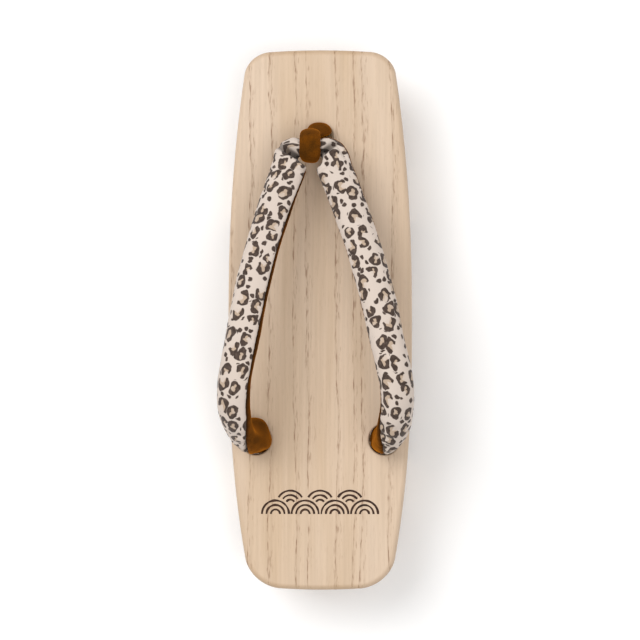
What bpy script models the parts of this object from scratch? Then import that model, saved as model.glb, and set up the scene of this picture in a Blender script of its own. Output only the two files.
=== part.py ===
"""A geta sandal: a sawn wooden board on two teeth, a padded thong strap, its velvet front loop and the cords
that tie them under the board. Metres, +Z up, +Y to the toe; the floor is z = 0, under the board's middle."""

from math import asin, cos, pi, radians, sin, sqrt

import bmesh
import bpy
from mathutils import Matrix, Vector
from mathutils.geometry import interpolate_bezier

# The board's outline, seen from above
BOARD_LENGTH = 0.240
BOARD_WIDTH = 0.0817
TOE_END_WIDTH = 0.0640
HEEL_END_WIDTH = 0.0612
WIDEST_FROM_TOE = 0.120
TOE_SWELL = 2.25  # powers of the curve from the widest place to each end
HEEL_SWELL = 2.5
TOE_CORNER_RADIUS = 0.0105
HEEL_CORNER_RADIUS = 0.0139
TOE_CROWN = 0.0007
HEEL_CROWN = 0.0005

# The board and its teeth, seen from the side
HEIGHT = 0.046
BOARD_THICKNESS = 0.018
TOE_THICKNESS = 0.012
HEEL_THICKNESS = 0.013
FRONT_TOOTH_FROM_TOE = 0.052
REAR_TOOTH_FROM_HEEL = 0.033
TOOTH_THICKNESS = 0.023
TOOTH_COVE = 0.006
TOOTH_EASING = 0.0012
TOP_ROUNDING = 0.0026
FOOT_ROUNDING = 0.0010

# Holes through the board
FRONT_HOLE_FROM_TOE = 0.0385
FRONT_HOLE_RADIUS = 0.00575
REAR_HOLE_FROM_HEEL = 0.0669
REAR_HOLE_OUT = 0.0285
REAR_HOLE_RADIUS = 0.0068
HOLE_EASING = 0.0008
RECESS_ROOM = 0.0032  # between the front knot and its recess
RECESS_DEPTH = 0.006

# The strap
STRAP_WIDTH = 0.0152
STRAP_THICKNESS = 0.0098
STRAP_RISE = 0.040  # the highest place of its middle line, above the board
STRAP_REACH_LEFT = 0.0371  # the widest place of its middle line, to each side
STRAP_REACH_RIGHT = 0.0352
STRAP_DEPTH = 0.009  # how far its ends go into the holes
APEX_BACK = 0.0058  # the apex, behind the front hole
APEX_LEFT = 0.0038
APEX_RISE = 0.0170
APEX_WIDTH = 0.0087
APEX_THICKNESS = 0.0086
CROWN_SHARE = 0.57  # of the thickness, above the seams
ROUNDNESS = 2.2  # the power of a section's curve: 2 is an ellipse, and more is squarer
LINING_ROUNDNESS = 3.0

# The front loop
LOOP_WIDTH = 0.0092
LOOP_THICKNESS = 0.0027
LOOP_LEG_WIDTH = 0.0084
LOOP_LEG_THICKNESS = 0.0046
LOOP_DEPTH = 0.009
LOOP_LEG_GAP = 0.0005
LOOP_SLACK = 0.0045  # how far the rear leg hangs down before it turns to the hole
LOOP_FROM = 205  # degrees round the strap, where the band leaves its rear leg
LOOP_TO = -12

# The cords under the board
CORD_RADIUS = 0.0019
KNOT_OVERHANG = 0.0015  # how far the front knot is wider than its hole
KNOT_HEIGHT = 0.0076
KNOT_STEM_RADIUS = 0.0030
TIE_KNOT_LENGTH = 0.018
TIE_KNOT_WIDTH = 0.012
TIE_KNOT_HEIGHT = 0.0085

CLEARANCE = 0.0003
MARGIN = 0.010  # how far a cutter runs past what it cuts

# One arm of the strap, from the apex to the rear hole.
# back: of the way from the front hole to the rear hole; out: of the way from the apex to the reach;
# home: of the way from there to the rear hole's middle; rise: of STRAP_RISE;
# wide, thick: of the strap's width and thickness; swing: degrees that the width line turns from straight
# sideways towards the toe; roll: degrees that the lining turns inwards and up.
ARM = (
    dict(back=0.105, out=0.275, home=0.0, rise=0.490, wide=1.00, thick=0.93, swing=22, roll=3),
    dict(back=0.160, out=0.345, home=0.0, rise=0.560, wide=1.00, thick=0.97, swing=20, roll=4),
    dict(back=0.250, out=0.463, home=0.0, rise=0.665, wide=1.00, thick=1.00, swing=19, roll=5),
    dict(back=0.375, out=0.612, home=0.0, rise=0.790, wide=0.99, thick=1.00, swing=17, roll=6),
    dict(back=0.497, out=0.734, home=0.0, rise=0.890, wide=0.98, thick=1.00, swing=14, roll=6),
    dict(back=0.583, out=0.805, home=0.0, rise=0.945, wide=0.98, thick=1.00, swing=12, roll=6),
    dict(back=0.678, out=0.878, home=0.0, rise=0.990, wide=0.97, thick=1.00, swing=11, roll=8),
    dict(back=0.742, out=0.931, home=0.0, rise=1.000, wide=0.96, thick=1.00, swing=9, roll=12),
    dict(back=0.812, out=0.980, home=0.0, rise=0.965, wide=0.96, thick=1.00, swing=4, roll=20),
    dict(back=0.876, out=1.000, home=0.03, rise=0.880, wide=0.98, thick=1.04, swing=-5, roll=32),
    dict(back=0.926, out=1.000, home=0.14, rise=0.745, wide=1.02, thick=1.10, swing=-14, roll=47),
    dict(back=0.962, out=1.000, home=0.32, rise=0.570, wide=1.04, thick=1.16, swing=-20, roll=62),
    dict(back=0.985, out=1.000, home=0.54, rise=0.390, wide=1.02, thick=1.18, swing=-22, roll=74),
    dict(back=0.998, out=1.000, home=0.77, rise=0.220, wide=0.94, thick=1.18, swing=-18, roll=82),
    dict(back=1.002, out=1.000, home=0.93, rise=0.090, wide=0.84, thick=1.14, swing=-9, roll=86),
)
# The bend from the loop's side to the arm's first row, where the strap fans out.
# over, back, rise, wide: of the way from the apex's own values to that row's; swing as above.
BEND = (
    dict(over=0.00, back=0.00, rise=0.00, wide=0.00, swing=90),
    dict(over=0.38, back=0.06, rise=0.10, wide=0.33, swing=82),
    dict(over=0.74, back=0.32, rise=0.35, wide=0.70, swing=57),
    dict(over=0.92, back=0.63, rise=0.65, wide=0.92, swing=36),
)
# The end in the rear hole. sink: of STRAP_DEPTH; wide, thick: of what the hole holds; swing, roll as above.
MOUTH = (
    dict(sink=0.0, wide=0.94, thick=0.85, swing=0, roll=88),
    dict(sink=0.5, wide=0.94, thick=0.85, swing=0, roll=88),
    dict(sink=1.0, wide=0.86, thick=0.78, swing=0, roll=88),
)
ARM_STEPS = 3  # sections from one row of the table to the next
SECTION_POINTS = 20

FRONT_HOLE_Y = BOARD_LENGTH / 2 - FRONT_HOLE_FROM_TOE
REAR_HOLE_Y = REAR_HOLE_FROM_HEEL - BOARD_LENGTH / 2
UNDERSIDE = HEIGHT - BOARD_THICKNESS
KNOT_RADIUS = FRONT_HOLE_RADIUS + KNOT_OVERHANG
RECESS_RADIUS = KNOT_RADIUS + RECESS_ROOM
APEX = Vector((-APEX_LEFT, FRONT_HOLE_Y - APEX_BACK, HEIGHT + APEX_RISE))


def clear_scene():
    for obj in list(bpy.data.objects):
        bpy.data.objects.remove(obj, do_unlink=True)


def new_collection(name):
    made = bpy.data.collections.new(name)
    bpy.context.scene.collection.children.link(made)
    return made


def linear(hex_colour):
    """The linear colour of an sRGB hex value."""
    channels = [int(hex_colour[i : i + 2], 16) / 255 for i in (1, 3, 5)]
    return [c / 12.92 if c <= 0.04045 else ((c + 0.055) / 1.055) ** 2.4 for c in channels] + [1.0]


def new_material(name, hex_colour, roughness):
    made = bpy.data.materials.new(name)
    made.use_nodes = True
    surface = made.node_tree.nodes["Principled BSDF"]
    surface.inputs["Base Color"].default_value = linear(hex_colour)
    surface.inputs["Roughness"].default_value = roughness
    surface.inputs["Metallic"].default_value = 0.0
    return made


def add_object(name, bm, collection, material=None, sharp_angle=40):
    """The mesh as an object of the collection, shaded smooth but at its sharp edges."""
    bmesh.ops.recalc_face_normals(bm, faces=bm.faces)
    mesh = bpy.data.meshes.new(name)
    bm.to_mesh(mesh)
    bm.free()
    mesh.shade_smooth()
    mesh.set_sharp_from_angle(angle=radians(sharp_angle))
    if material:
        mesh.materials.append(material)
    obj = bpy.data.objects.new(name, mesh)
    collection.objects.link(obj)
    return obj


def hide_helper(obj):
    obj.hide_render = True
    obj.display_type = "WIRE"
    return obj


def boolean(obj, operation, other):
    modifier = obj.modifiers.new(f"{operation.title()} {other.name}", "BOOLEAN")
    modifier.operation = operation
    modifier.solver = "EXACT"
    modifier.object = other


def half_width(from_toe):
    """Half of the board's width at a distance from its toe end, before its corners are rounded."""
    if from_toe < WIDEST_FROM_TOE:
        share = (WIDEST_FROM_TOE - from_toe) / WIDEST_FROM_TOE
        drop = (BOARD_WIDTH - TOE_END_WIDTH) * share**TOE_SWELL
    else:
        share = (from_toe - WIDEST_FROM_TOE) / (BOARD_LENGTH - WIDEST_FROM_TOE)
        drop = (BOARD_WIDTH - HEEL_END_WIDTH) * share**HEEL_SWELL
    return (BOARD_WIDTH - drop) / 2


def corner(radius, crown, at_toe, steps=6):
    """One rounded corner, from the end's middle out to the side, on the right."""
    flat = half_width(0 if at_toe else BOARD_LENGTH) - radius
    points = [(flat * share, crown * share**2) for share in (0.0, 0.35, 0.7)]
    for step in range(steps + 1):
        angle = pi / 2 * step / steps
        inset = radius * (1 - cos(angle))
        from_toe = inset if at_toe else BOARD_LENGTH - inset
        across = half_width(from_toe) - radius * (1 - sin(angle))
        points.append((across, inset + crown * (1 - inset / radius)))
    return [(x, BOARD_LENGTH / 2 - inset if at_toe else inset - BOARD_LENGTH / 2) for x, inset in points]


def board_outline(side_steps=16):
    """The board seen from above: points anticlockwise from the middle of the heel end."""
    heel = corner(HEEL_CORNER_RADIUS, HEEL_CROWN, at_toe=False)
    toe = corner(TOE_CORNER_RADIUS, TOE_CROWN, at_toe=True)
    first, last = BOARD_LENGTH - HEEL_CORNER_RADIUS, TOE_CORNER_RADIUS
    side = []
    for step in range(1, side_steps):
        from_toe = first + (last - first) * step / side_steps
        side.append((half_width(from_toe), BOARD_LENGTH / 2 - from_toe))
    right = heel + side + toe[::-1]
    left = [(-x, y) for x, y in right[-2:0:-1]]
    return right + left


def rounded(corners, steps=5):
    """A path through corners of (y, z, radius), with an arc of that radius at each."""
    path = []
    for i, (y, z, radius) in enumerate(corners):
        here = Vector((y, z))
        if not radius:
            path.append(here)
            continue
        before = (Vector(corners[i - 1][:2]) - here).normalized()
        after = (Vector(corners[(i + 1) % len(corners)][:2]) - here).normalized()
        half = before.angle(after) / 2
        centre = here + (before + after).normalized() * radius / sin(half)
        start = here + before * (radius * cos(half) / sin(half)) - centre
        turn = (pi - 2 * half) * (1 if before.cross(after) < 0 else -1)
        for step in range(steps + 1):
            path.append(centre + Matrix.Rotation(turn * step / steps, 2) @ start)
    return path


def side_profile():
    """What the saw leaves of the block, seen from the side: from the toe along the underside to the heel."""
    toe, heel = BOARD_LENGTH / 2, -BOARD_LENGTH / 2
    front_face = toe - FRONT_TOOTH_FROM_TOE
    front_back = front_face - TOOTH_THICKNESS
    rear_back = heel + REAR_TOOTH_FROM_HEEL
    rear_face = rear_back + TOOTH_THICKNESS
    toe_slope = (BOARD_THICKNESS - TOE_THICKNESS) / FRONT_TOOTH_FROM_TOE
    heel_slope = (BOARD_THICKNESS - HEEL_THICKNESS) / REAR_TOOTH_FROM_HEEL
    return rounded(
        (
            (toe + MARGIN, HEIGHT + MARGIN, 0),
            (toe + MARGIN, HEIGHT - TOE_THICKNESS + MARGIN * toe_slope, 0),
            (front_face, UNDERSIDE, TOOTH_COVE),
            (front_face, 0, TOOTH_EASING),
            (front_back, 0, TOOTH_EASING),
            (front_back, UNDERSIDE, TOOTH_COVE),
            (rear_face, UNDERSIDE, TOOTH_COVE),
            (rear_face, 0, TOOTH_EASING),
            (rear_back, 0, TOOTH_EASING),
            (rear_back, UNDERSIDE, TOOTH_COVE),
            (heel - MARGIN, HEIGHT - HEEL_THICKNESS + MARGIN * heel_slope, 0),
            (heel - MARGIN, HEIGHT + MARGIN, 0),
        )
    )


def extruded(points, direction):
    """A prism: the flat outline, and the same outline moved along the direction."""
    bm = bmesh.new()
    base = bm.faces.new([bm.verts.new(point) for point in points])
    moved = bmesh.ops.extrude_face_region(bm, geom=[base])["geom"]
    verts = [item for item in moved if isinstance(item, bmesh.types.BMVert)]
    bmesh.ops.translate(bm, verts=verts, vec=direction)
    return bm


def round_rim(bm, height, radius, segments):
    """Rounds the edges that lie at one height."""
    rim = [edge for edge in bm.edges if all(abs(vert.co.z - height) < 1e-6 for vert in edge.verts)]
    bmesh.ops.bevel(bm, geom=rim, offset=radius, segments=segments, profile=0.5, affect="EDGES")


def turned(name, profile, place, collection, material=None, steps=28):
    """A body turned round +Z: its profile of (radius, height) runs down its outer side."""
    bm = bmesh.new()
    verts = [bm.verts.new((radius, 0, height)) for radius, height in profile]
    for above, below in zip(verts, verts[1:]):
        bm.edges.new((above, below))
    obj = add_object(name, bm, collection, material)
    obj.location = place
    screw = obj.modifiers.new("Turn", "SCREW")
    screw.steps = screw.render_steps = steps
    screw.use_merge_vertices = True
    screw.merge_threshold = 0.00001
    return obj


def underside_at(from_toe):
    """The height of the underside in front of the front tooth."""
    share = 1 - from_toe / FRONT_TOOTH_FROM_TOE
    return UNDERSIDE + (BOARD_THICKNESS - TOE_THICKNESS) * share


def recess_ceiling():
    return underside_at(FRONT_HOLE_FROM_TOE) + RECESS_DEPTH


def hole_cutter(name, x, y, radius, lower_profile, collection):
    """A turned cutter for one hole: its eased upper rim, its wall, then the profile given for its lower end."""
    top = HEIGHT + MARGIN
    rim = [(0, top), (radius + HOLE_EASING + MARGIN, top), (radius, HEIGHT - HOLE_EASING)]
    return hide_helper(turned(name, rim + lower_profile + [(0, -MARGIN)], (x, y, 0), collection))


def hole_cutters(collection):
    ceiling = recess_ceiling()
    recess = [(FRONT_HOLE_RADIUS, ceiling), (RECESS_RADIUS, ceiling), (RECESS_RADIUS, -MARGIN)]
    eased = REAR_HOLE_RADIUS + HOLE_EASING
    plain = [(REAR_HOLE_RADIUS, UNDERSIDE + HOLE_EASING), (eased, UNDERSIDE), (eased, -MARGIN)]
    yield hole_cutter("front_hole", 0, FRONT_HOLE_Y, FRONT_HOLE_RADIUS, recess, collection)
    for name, side in (("rear_hole_left", -1), ("rear_hole_right", 1)):
        yield hole_cutter(name, side * REAR_HOLE_OUT, REAR_HOLE_Y, REAR_HOLE_RADIUS, plain, collection)


def make_board(parts, cutters, material):
    """The block in the board's outline, sawn to the side profile, with its three holes."""
    bm = extruded([(x, y, 0) for x, y in board_outline()], (0, 0, HEIGHT))
    round_rim(bm, HEIGHT, TOP_ROUNDING, 4)
    round_rim(bm, 0, FOOT_ROUNDING, 2)
    board = add_object("board", bm, parts, material)
    half = BOARD_WIDTH / 2 + MARGIN
    sawn = extruded([(-half, y, z) for y, z in side_profile()], (2 * half, 0, 0))
    boolean(board, "INTERSECT", hide_helper(add_object("saw_profile", sawn, cutters)))
    for cutter in hole_cutters(cutters):
        boolean(board, "DIFFERENCE", cutter)


def ring_points(centre, across, up, width, thickness, lower_power=ROUNDNESS):
    """The points round one section: a domed upper half over a lower half that is flatter with its power."""
    points = []
    for step in range(SECTION_POINTS):
        angle = 2 * pi * step / SECTION_POINTS
        power = ROUNDNESS if sin(angle) >= 0 else lower_power
        x = width / 2 * (1 if cos(angle) > 0 else -1) * abs(cos(angle)) ** (2 / power)
        depth = CROWN_SHARE if sin(angle) >= 0 else CROWN_SHARE - 1
        z = thickness * (depth * abs(sin(angle)) ** (2 / power) + 0.5 - CROWN_SHARE)
        points.append(centre + across * x + up * z)
    return points


def loft(rings):
    """A closed skin through rings of equally many points, with flat ends."""
    bm = bmesh.new()
    rows = [[bm.verts.new(point) for point in ring] for ring in rings]
    for here, there in zip(rows, rows[1:]):
        for i in range(len(here)):
            j = (i + 1) % len(here)
            bm.faces.new((here[i], here[j], there[j], there[i]))
    bm.faces.new(rows[0][::-1])
    bm.faces.new(rows[-1])
    return bm


def slope(before, after):
    """The slope of a smooth curve between two straight stretches, with no overshoot."""
    return 2 * before * after / (before + after) if before * after > 0 else 0


def smooth_rows(rows, steps):
    """Rows read from a smooth curve through the given ones, which start with x, y and z."""
    spans = [(Vector(there[:3]) - Vector(here[:3])).length for here, there in zip(rows, rows[1:])]
    secants = [
        [(b - a) / span for a, b in zip(here, there)] for here, there, span in zip(rows, rows[1:], spans)
    ]
    slopes = [secants[0]]
    slopes += [[slope(b, a) for b, a in zip(before, after)] for before, after in zip(secants, secants[1:])]
    slopes.append(secants[-1])
    made = []
    for i, span in enumerate(spans):
        for step in range(steps):
            t = step / steps
            ease = 3 * t**2 - 2 * t**3
            weights = (1 - ease, (t**3 - 2 * t**2 + t) * span, ease, (t**3 - t**2) * span)
            columns = zip(rows[i], slopes[i], rows[i + 1], slopes[i + 1])
            made.append(tuple(sum(w * v for w, v in zip(weights, column)) for column in columns))
    made.append(tuple(rows[-1]))
    return made


def arm_rows(side):
    """One arm's sections, from the loop's side to the end in its hole: place, size, turns and roundness."""
    reach = (STRAP_REACH_RIGHT if side > 0 else STRAP_REACH_LEFT) * side
    arm = []
    for row in ARM:
        sideways = APEX.x + row["out"] * (reach - APEX.x)
        x = sideways + row["home"] * (side * REAR_HOLE_OUT - sideways)
        y = FRONT_HOLE_Y + row["back"] * (REAR_HOLE_Y - FRONT_HOLE_Y)
        z = HEIGHT + row["rise"] * STRAP_RISE
        width, thickness = row["wide"] * STRAP_WIDTH, row["thick"] * STRAP_THICKNESS
        arm.append((x, y, z, width, thickness, row["swing"], row["roll"], LINING_ROUNDNESS))
    first = arm[0]
    beside = APEX.x + side * (LOOP_WIDTH / 2 + CLEARANCE)
    bend = []
    for row in BEND:
        x = beside + row["over"] * (first[0] - beside)
        y = APEX.y + row["back"] * (first[1] - APEX.y)
        z = APEX.z + row["rise"] * (first[2] - APEX.z)
        width = APEX_WIDTH + row["wide"] * (first[3] - APEX_WIDTH)
        thickness = APEX_THICKNESS + row["wide"] * (first[4] - APEX_THICKNESS)
        roundness = ROUNDNESS + row["wide"] * (LINING_ROUNDNESS - ROUNDNESS)
        bend.append((x, y, z, width, thickness, row["swing"], row["wide"] * first[6], roundness))
    mouth = 2 * (REAR_HOLE_RADIUS - CLEARANCE)
    for row in MOUTH:
        place = (side * REAR_HOLE_OUT, REAR_HOLE_Y, HEIGHT - STRAP_DEPTH * row["sink"])
        width, thickness = mouth * row["wide"], mouth * row["thick"]
        arm.append((*place, width, thickness, row["swing"], row["roll"], ROUNDNESS))
    return bend + arm


def strap_rings():
    """Sections of the strap from its left end over the apex to its right end."""
    apex = (APEX.x, APEX.y, APEX.z, APEX_WIDTH, APEX_THICKNESS, 90, 0, ROUNDNESS)
    rings = []
    for side in (-1, 1):
        rows = smooth_rows([apex, *arm_rows(side)], ARM_STEPS)
        arm = []
        for i, (x, y, z, width, thickness, swing, roll, roundness) in enumerate(rows):
            before = Vector(rows[max(i - 1, 0)][:3])
            after = Vector(rows[min(i + 1, len(rows) - 1)][:3])
            travel = (after - before).normalized() if i else Vector((side, 0, 0))
            level = Vector((side * cos(radians(swing)), sin(radians(swing)), 0))
            face = (travel.cross(level) * side).normalized()
            outward = level * cos(radians(roll)) - face * sin(radians(roll))
            face = face * cos(radians(roll)) + level * sin(radians(roll))
            arm.append(ring_points(Vector((x, y, z)), outward, face, width, thickness, roundness))
        rings.append(arm)
    left, right = rings
    return left[::-1] + right[1:]


def make_strap(parts, material):
    add_object("strap", loft(strap_rings()), parts, material)


def make_front_loop(parts, material):
    """A band out of the front hole, round the strap's apex from behind and back into the hole."""
    half_y = APEX_WIDTH / 2 + CLEARANCE + LOOP_THICKNESS / 2
    half_z = APEX_THICKNESS / 2 + CLEARANCE + LOOP_THICKNESS / 2
    leg_out = (LOOP_LEG_THICKNESS + LOOP_LEG_GAP) / 2
    rear_mouth = Vector((0, FRONT_HOLE_Y - leg_out, HEIGHT))
    front_mouth = Vector((0, FRONT_HOLE_Y + leg_out, HEIGHT))
    handle = Vector((0, 0, APEX_RISE / 2))

    def round_strap(degrees):
        y, z = cos(radians(degrees)), sin(radians(degrees))
        bulge = (abs(y) ** ROUNDNESS + abs(z) ** ROUNDNESS) ** (-1 / ROUNDNESS)
        return APEX + Vector((0, half_y * y * bulge, half_z * z * bulge))

    over = [round_strap(LOOP_FROM + (LOOP_TO - LOOP_FROM) * step / 20) for step in range(21)]
    first_way, last_way = (over[1] - over[0]).normalized(), (over[-1] - over[-2]).normalized()
    rise = interpolate_bezier(rear_mouth, rear_mouth + handle, over[0] - first_way * LOOP_SLACK, over[0], 9)
    fall = interpolate_bezier(over[-1], over[-1] + last_way * handle.z, front_mouth + handle, front_mouth, 9)
    down = [Vector((0, 0, -LOOP_DEPTH * share)) for share in (1.0, 0.6, 0.3)]
    # Each place of the route, with how far the section has gone from a leg's to the band's;
    # a leg has the band's section before it reaches the strap
    route = [(rear_mouth + step, 0) for step in down]
    grown = [min(step / 6, 1) for step in range(len(rise))]
    route += zip(rise, grown)
    route += [(point, 1) for point in over[1:-1]]
    route += zip(fall, grown[::-1])
    route += [(front_mouth + step, 0) for step in down[::-1]]
    rings = []
    for i, (point, share) in enumerate(route):
        travel = route[min(i + 1, len(route) - 1)][0] - route[max(i - 1, 0)][0]
        outward = Vector((1, 0, 0)).cross(travel).normalized()
        across = travel.cross(outward).normalized()
        width = LOOP_LEG_WIDTH + (LOOP_WIDTH - LOOP_LEG_WIDTH) * share
        thickness = LOOP_LEG_THICKNESS + (LOOP_THICKNESS - LOOP_LEG_THICKNESS) * share
        rings.append(ring_points(point, across, outward, width, thickness))
    add_object("front_loop", loft(rings), parts, material)


def make_front_knot(parts, material):
    """The knot of the loop's cords: a lump in the hole's lower mouth, with a stem up to the loop."""
    seat = KNOT_HEIGHT / 2 * sqrt(1 - (FRONT_HOLE_RADIUS / KNOT_RADIUS) ** 2)
    middle = recess_ceiling() - 1.5 * CLEARANCE - seat
    profile = [(0, HEIGHT - LOOP_DEPTH - CLEARANCE), (KNOT_STEM_RADIUS, HEIGHT - LOOP_DEPTH - CLEARANCE)]
    start = asin(KNOT_STEM_RADIUS / KNOT_RADIUS)
    steps = 8
    for step in range(steps + 1):
        angle = start + (pi - start) * step / steps
        profile.append((KNOT_RADIUS * sin(angle), middle + KNOT_HEIGHT / 2 * cos(angle)))
    profile[-1] = (0, middle - KNOT_HEIGHT / 2)
    turned("front_knot", profile, (0, FRONT_HOLE_Y, 0), parts, material, steps=20)


def make_rear_tie(parts, cutters, material):
    """The strap's cords: down through each rear hole and across under the board to one knot in the middle."""
    level = UNDERSIDE - CLEARANCE - CORD_RADIUS
    top = HEIGHT - STRAP_DEPTH - CLEARANCE
    bend = REAR_HOLE_RADIUS
    half = [Vector((REAR_HOLE_OUT, REAR_HOLE_Y, top)), Vector((REAR_HOLE_OUT, REAR_HOLE_Y, level + bend))]
    knee_start, knee_end = half[-1], Vector((REAR_HOLE_OUT - bend, REAR_HOLE_Y, level))
    for step in range(1, 6):
        angle = pi / 2 * step / 6
        half.append(Vector((knee_end.x + bend * cos(angle), REAR_HOLE_Y, knee_start.z - bend * sin(angle))))
    half.append(knee_end)
    route = half + [Vector((-point.x, point.y, point.z)) for point in half[::-1]]
    curve = bpy.data.curves.new("tie_route", "CURVE")
    curve.dimensions = "3D"
    curve.bevel_depth = CORD_RADIUS
    curve.bevel_resolution = 2
    curve.use_fill_caps = True
    spline = curve.splines.new("POLY")
    spline.points.add(len(route) - 1)
    for point, place in zip(spline.points, route):
        point.co = (*place, 1)
    guide = bpy.data.objects.new("tie_route", curve)
    cutters.objects.link(guide)
    mesh = bpy.data.meshes.new_from_object(guide.evaluated_get(bpy.context.evaluated_depsgraph_get()))
    bpy.data.objects.remove(guide, do_unlink=True)
    bm = bmesh.new()
    bm.from_mesh(mesh)
    bmesh.ops.remove_doubles(bm, verts=bm.verts, dist=0.00001)
    tie = add_object("rear_tie", bm, parts, material)

    lump = bmesh.new()
    bmesh.ops.create_uvsphere(lump, u_segments=18, v_segments=10, radius=0.5)
    bmesh.ops.scale(lump, vec=(TIE_KNOT_LENGTH, TIE_KNOT_WIDTH, TIE_KNOT_HEIGHT), verts=lump.verts)
    middle = (0, REAR_HOLE_Y, UNDERSIDE - CLEARANCE - TIE_KNOT_HEIGHT / 2)
    bmesh.ops.translate(lump, vec=middle, verts=lump.verts)
    boolean(tie, "UNION", hide_helper(add_object("tie_knot", lump, cutters)))


def main():
    clear_scene()
    parts = new_collection("geta")
    cutters = new_collection("cutters")
    wood = new_material("Paulownia wood", "#E0C7AC", 0.55)
    cotton = new_material("Printed cotton", "#CDBBAA", 0.85)
    velvet = new_material("Velvet", "#6B4212", 0.90)
    cord = new_material("Twisted cord", "#D9CDB8", 0.85)
    make_board(parts, cutters, wood)
    make_strap(parts, cotton)
    make_front_loop(parts, velvet)
    make_front_knot(parts, cord)
    make_rear_tie(parts, cutters, cord)


main()
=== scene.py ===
"""A geta sandal: its paulownia board, padded cotton and velvet strap, velvet front loop and the cords tied under
the board. Metres, +Z up, +Y to the toe; the floor is z = 0, under the board's middle."""

from functools import partial
from math import atan2, cos, exp, pi, radians, sin

import bmesh
import bpy
from bpy.props import FloatProperty, FloatVectorProperty, PointerProperty
from mathutils import Matrix, Vector, noise
from mathutils.geometry import interpolate_bezier


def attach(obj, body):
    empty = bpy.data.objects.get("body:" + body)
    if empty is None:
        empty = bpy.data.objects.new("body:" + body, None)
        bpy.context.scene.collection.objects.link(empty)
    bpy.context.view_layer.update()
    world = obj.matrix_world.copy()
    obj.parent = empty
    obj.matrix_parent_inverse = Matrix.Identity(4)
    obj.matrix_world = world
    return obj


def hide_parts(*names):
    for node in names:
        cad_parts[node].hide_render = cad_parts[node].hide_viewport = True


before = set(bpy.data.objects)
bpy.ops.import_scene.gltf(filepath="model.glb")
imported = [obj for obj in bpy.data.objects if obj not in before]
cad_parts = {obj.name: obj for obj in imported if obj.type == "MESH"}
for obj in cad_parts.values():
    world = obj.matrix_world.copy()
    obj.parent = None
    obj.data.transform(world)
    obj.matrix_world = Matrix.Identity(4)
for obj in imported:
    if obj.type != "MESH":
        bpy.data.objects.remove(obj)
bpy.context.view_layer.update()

bl_info = {
    "name": "Geta sandal",
    "version": (1, 0, 0),
    "blender": (4, 5, 0),
    "location": "3D View > Sidebar > Geta",
    "description": "Dresses the solids of a geta sandal in wood, cotton, velvet and cord",
    "category": "Add Mesh",
}

MM = 0.001

# The board's outline, seen from above
BOARD_LENGTH = 0.240
BOARD_WIDTH = 0.0817
TOE_END_WIDTH = 0.0640
HEEL_END_WIDTH = 0.0612
WIDEST_FROM_TOE = 0.120
TOE_SWELL = 2.25  # powers of the curve from the widest place to each end
HEEL_SWELL = 2.5
TOE_CORNER_RADIUS = 0.0105
HEEL_CORNER_RADIUS = 0.0139
TOE_CROWN = 0.0007
HEEL_CROWN = 0.0005

# The board and its teeth, seen from the side
HEIGHT = 0.046
BOARD_THICKNESS = 0.018
TOE_THICKNESS = 0.012
HEEL_THICKNESS = 0.013
FRONT_TOOTH_FROM_TOE = 0.052
REAR_TOOTH_FROM_HEEL = 0.033
TOOTH_THICKNESS = 0.023
TOOTH_COVE = 0.006
TOOTH_EASING = 0.0012
TOP_ROUNDING = 0.0026
FOOT_ROUNDING = 0.0010
SHARP_FROM = 35  # degrees between two faces, where the shading breaks

# Holes through the board
FRONT_HOLE_FROM_TOE = 0.0385
FRONT_HOLE_RADIUS = 0.00575
REAR_HOLE_FROM_HEEL = 0.0669
REAR_HOLE_OUT = 0.0285
REAR_HOLE_RADIUS = 0.0068
HOLE_EASING = 0.0008
RECESS_ROOM = 0.0032
RECESS_DEPTH = 0.006
KNOT_OVERHANG = 0.0015

# The strap
STRAP_WIDTH = 0.0152
STRAP_THICKNESS = 0.0098
STRAP_RISE = 0.040  # the highest place of its middle line, above the board
STRAP_REACH_LEFT = 0.0371  # the widest place of its middle line, to each side
STRAP_REACH_RIGHT = 0.0352
STRAP_DEPTH = 0.009  # how far its ends go into the holes
APEX_BACK = 0.0058  # the apex, behind the front hole
APEX_LEFT = 0.0038
APEX_RISE = 0.0170
APEX_WIDTH = 0.0077  # the loop draws the cloth in by a millimetre
APEX_THICKNESS = 0.0086
CROWN_SHARE = 0.57  # of the thickness, above the seams
ROUNDNESS = 2.2  # the power of a section's curve: 2 is an ellipse, and more is squarer
LINING_ROUNDNESS = 3.0
STRAIGHT_FROM = 0.030  # from the apex: the strap runs nearly straight from here
COTTON_STEPS = 54  # points round a section, over the cotton and under the lining
LINING_STEPS = 34
STRAP_SPACING = 0.00045  # between two sections
TURN_BLEND = 0.008  # over which the cloth's own coordinates go from the turn to the straight run
PRINT_AT_APEX = 0.53  # the place in the cloth's print that lies there
FREE_OF_LOOP = 0.0015  # over which the relief grows beside the loop, and above the hole
FREE_OF_HOLE = 0.006

# The strap's relief and its shadows, in millimetres
SEAM_DEPTH = 1.15
SEAM_BREADTH = 0.50
PUFF = 0.20  # how far the padding stands out beside a seam
PUFF_FROM_SEAM = 1.7
PUFF_BREADTH = 1.2
STITCH_SPACING = 2.9
STITCH_PULL = 0.09
STITCH_REACH = 1.5
LUMP = 0.30  # the padding's large and small lumps, and how far apart the large ones lie
SMALL_LUMP = 0.10
LUMPS_ALONG = 15
LUMPS_ACROSS = 11
FOLDS_END = 30  # from the apex
SEAM_SHADOW = 0.75
WALL_SHADOW = 1.8

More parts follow.
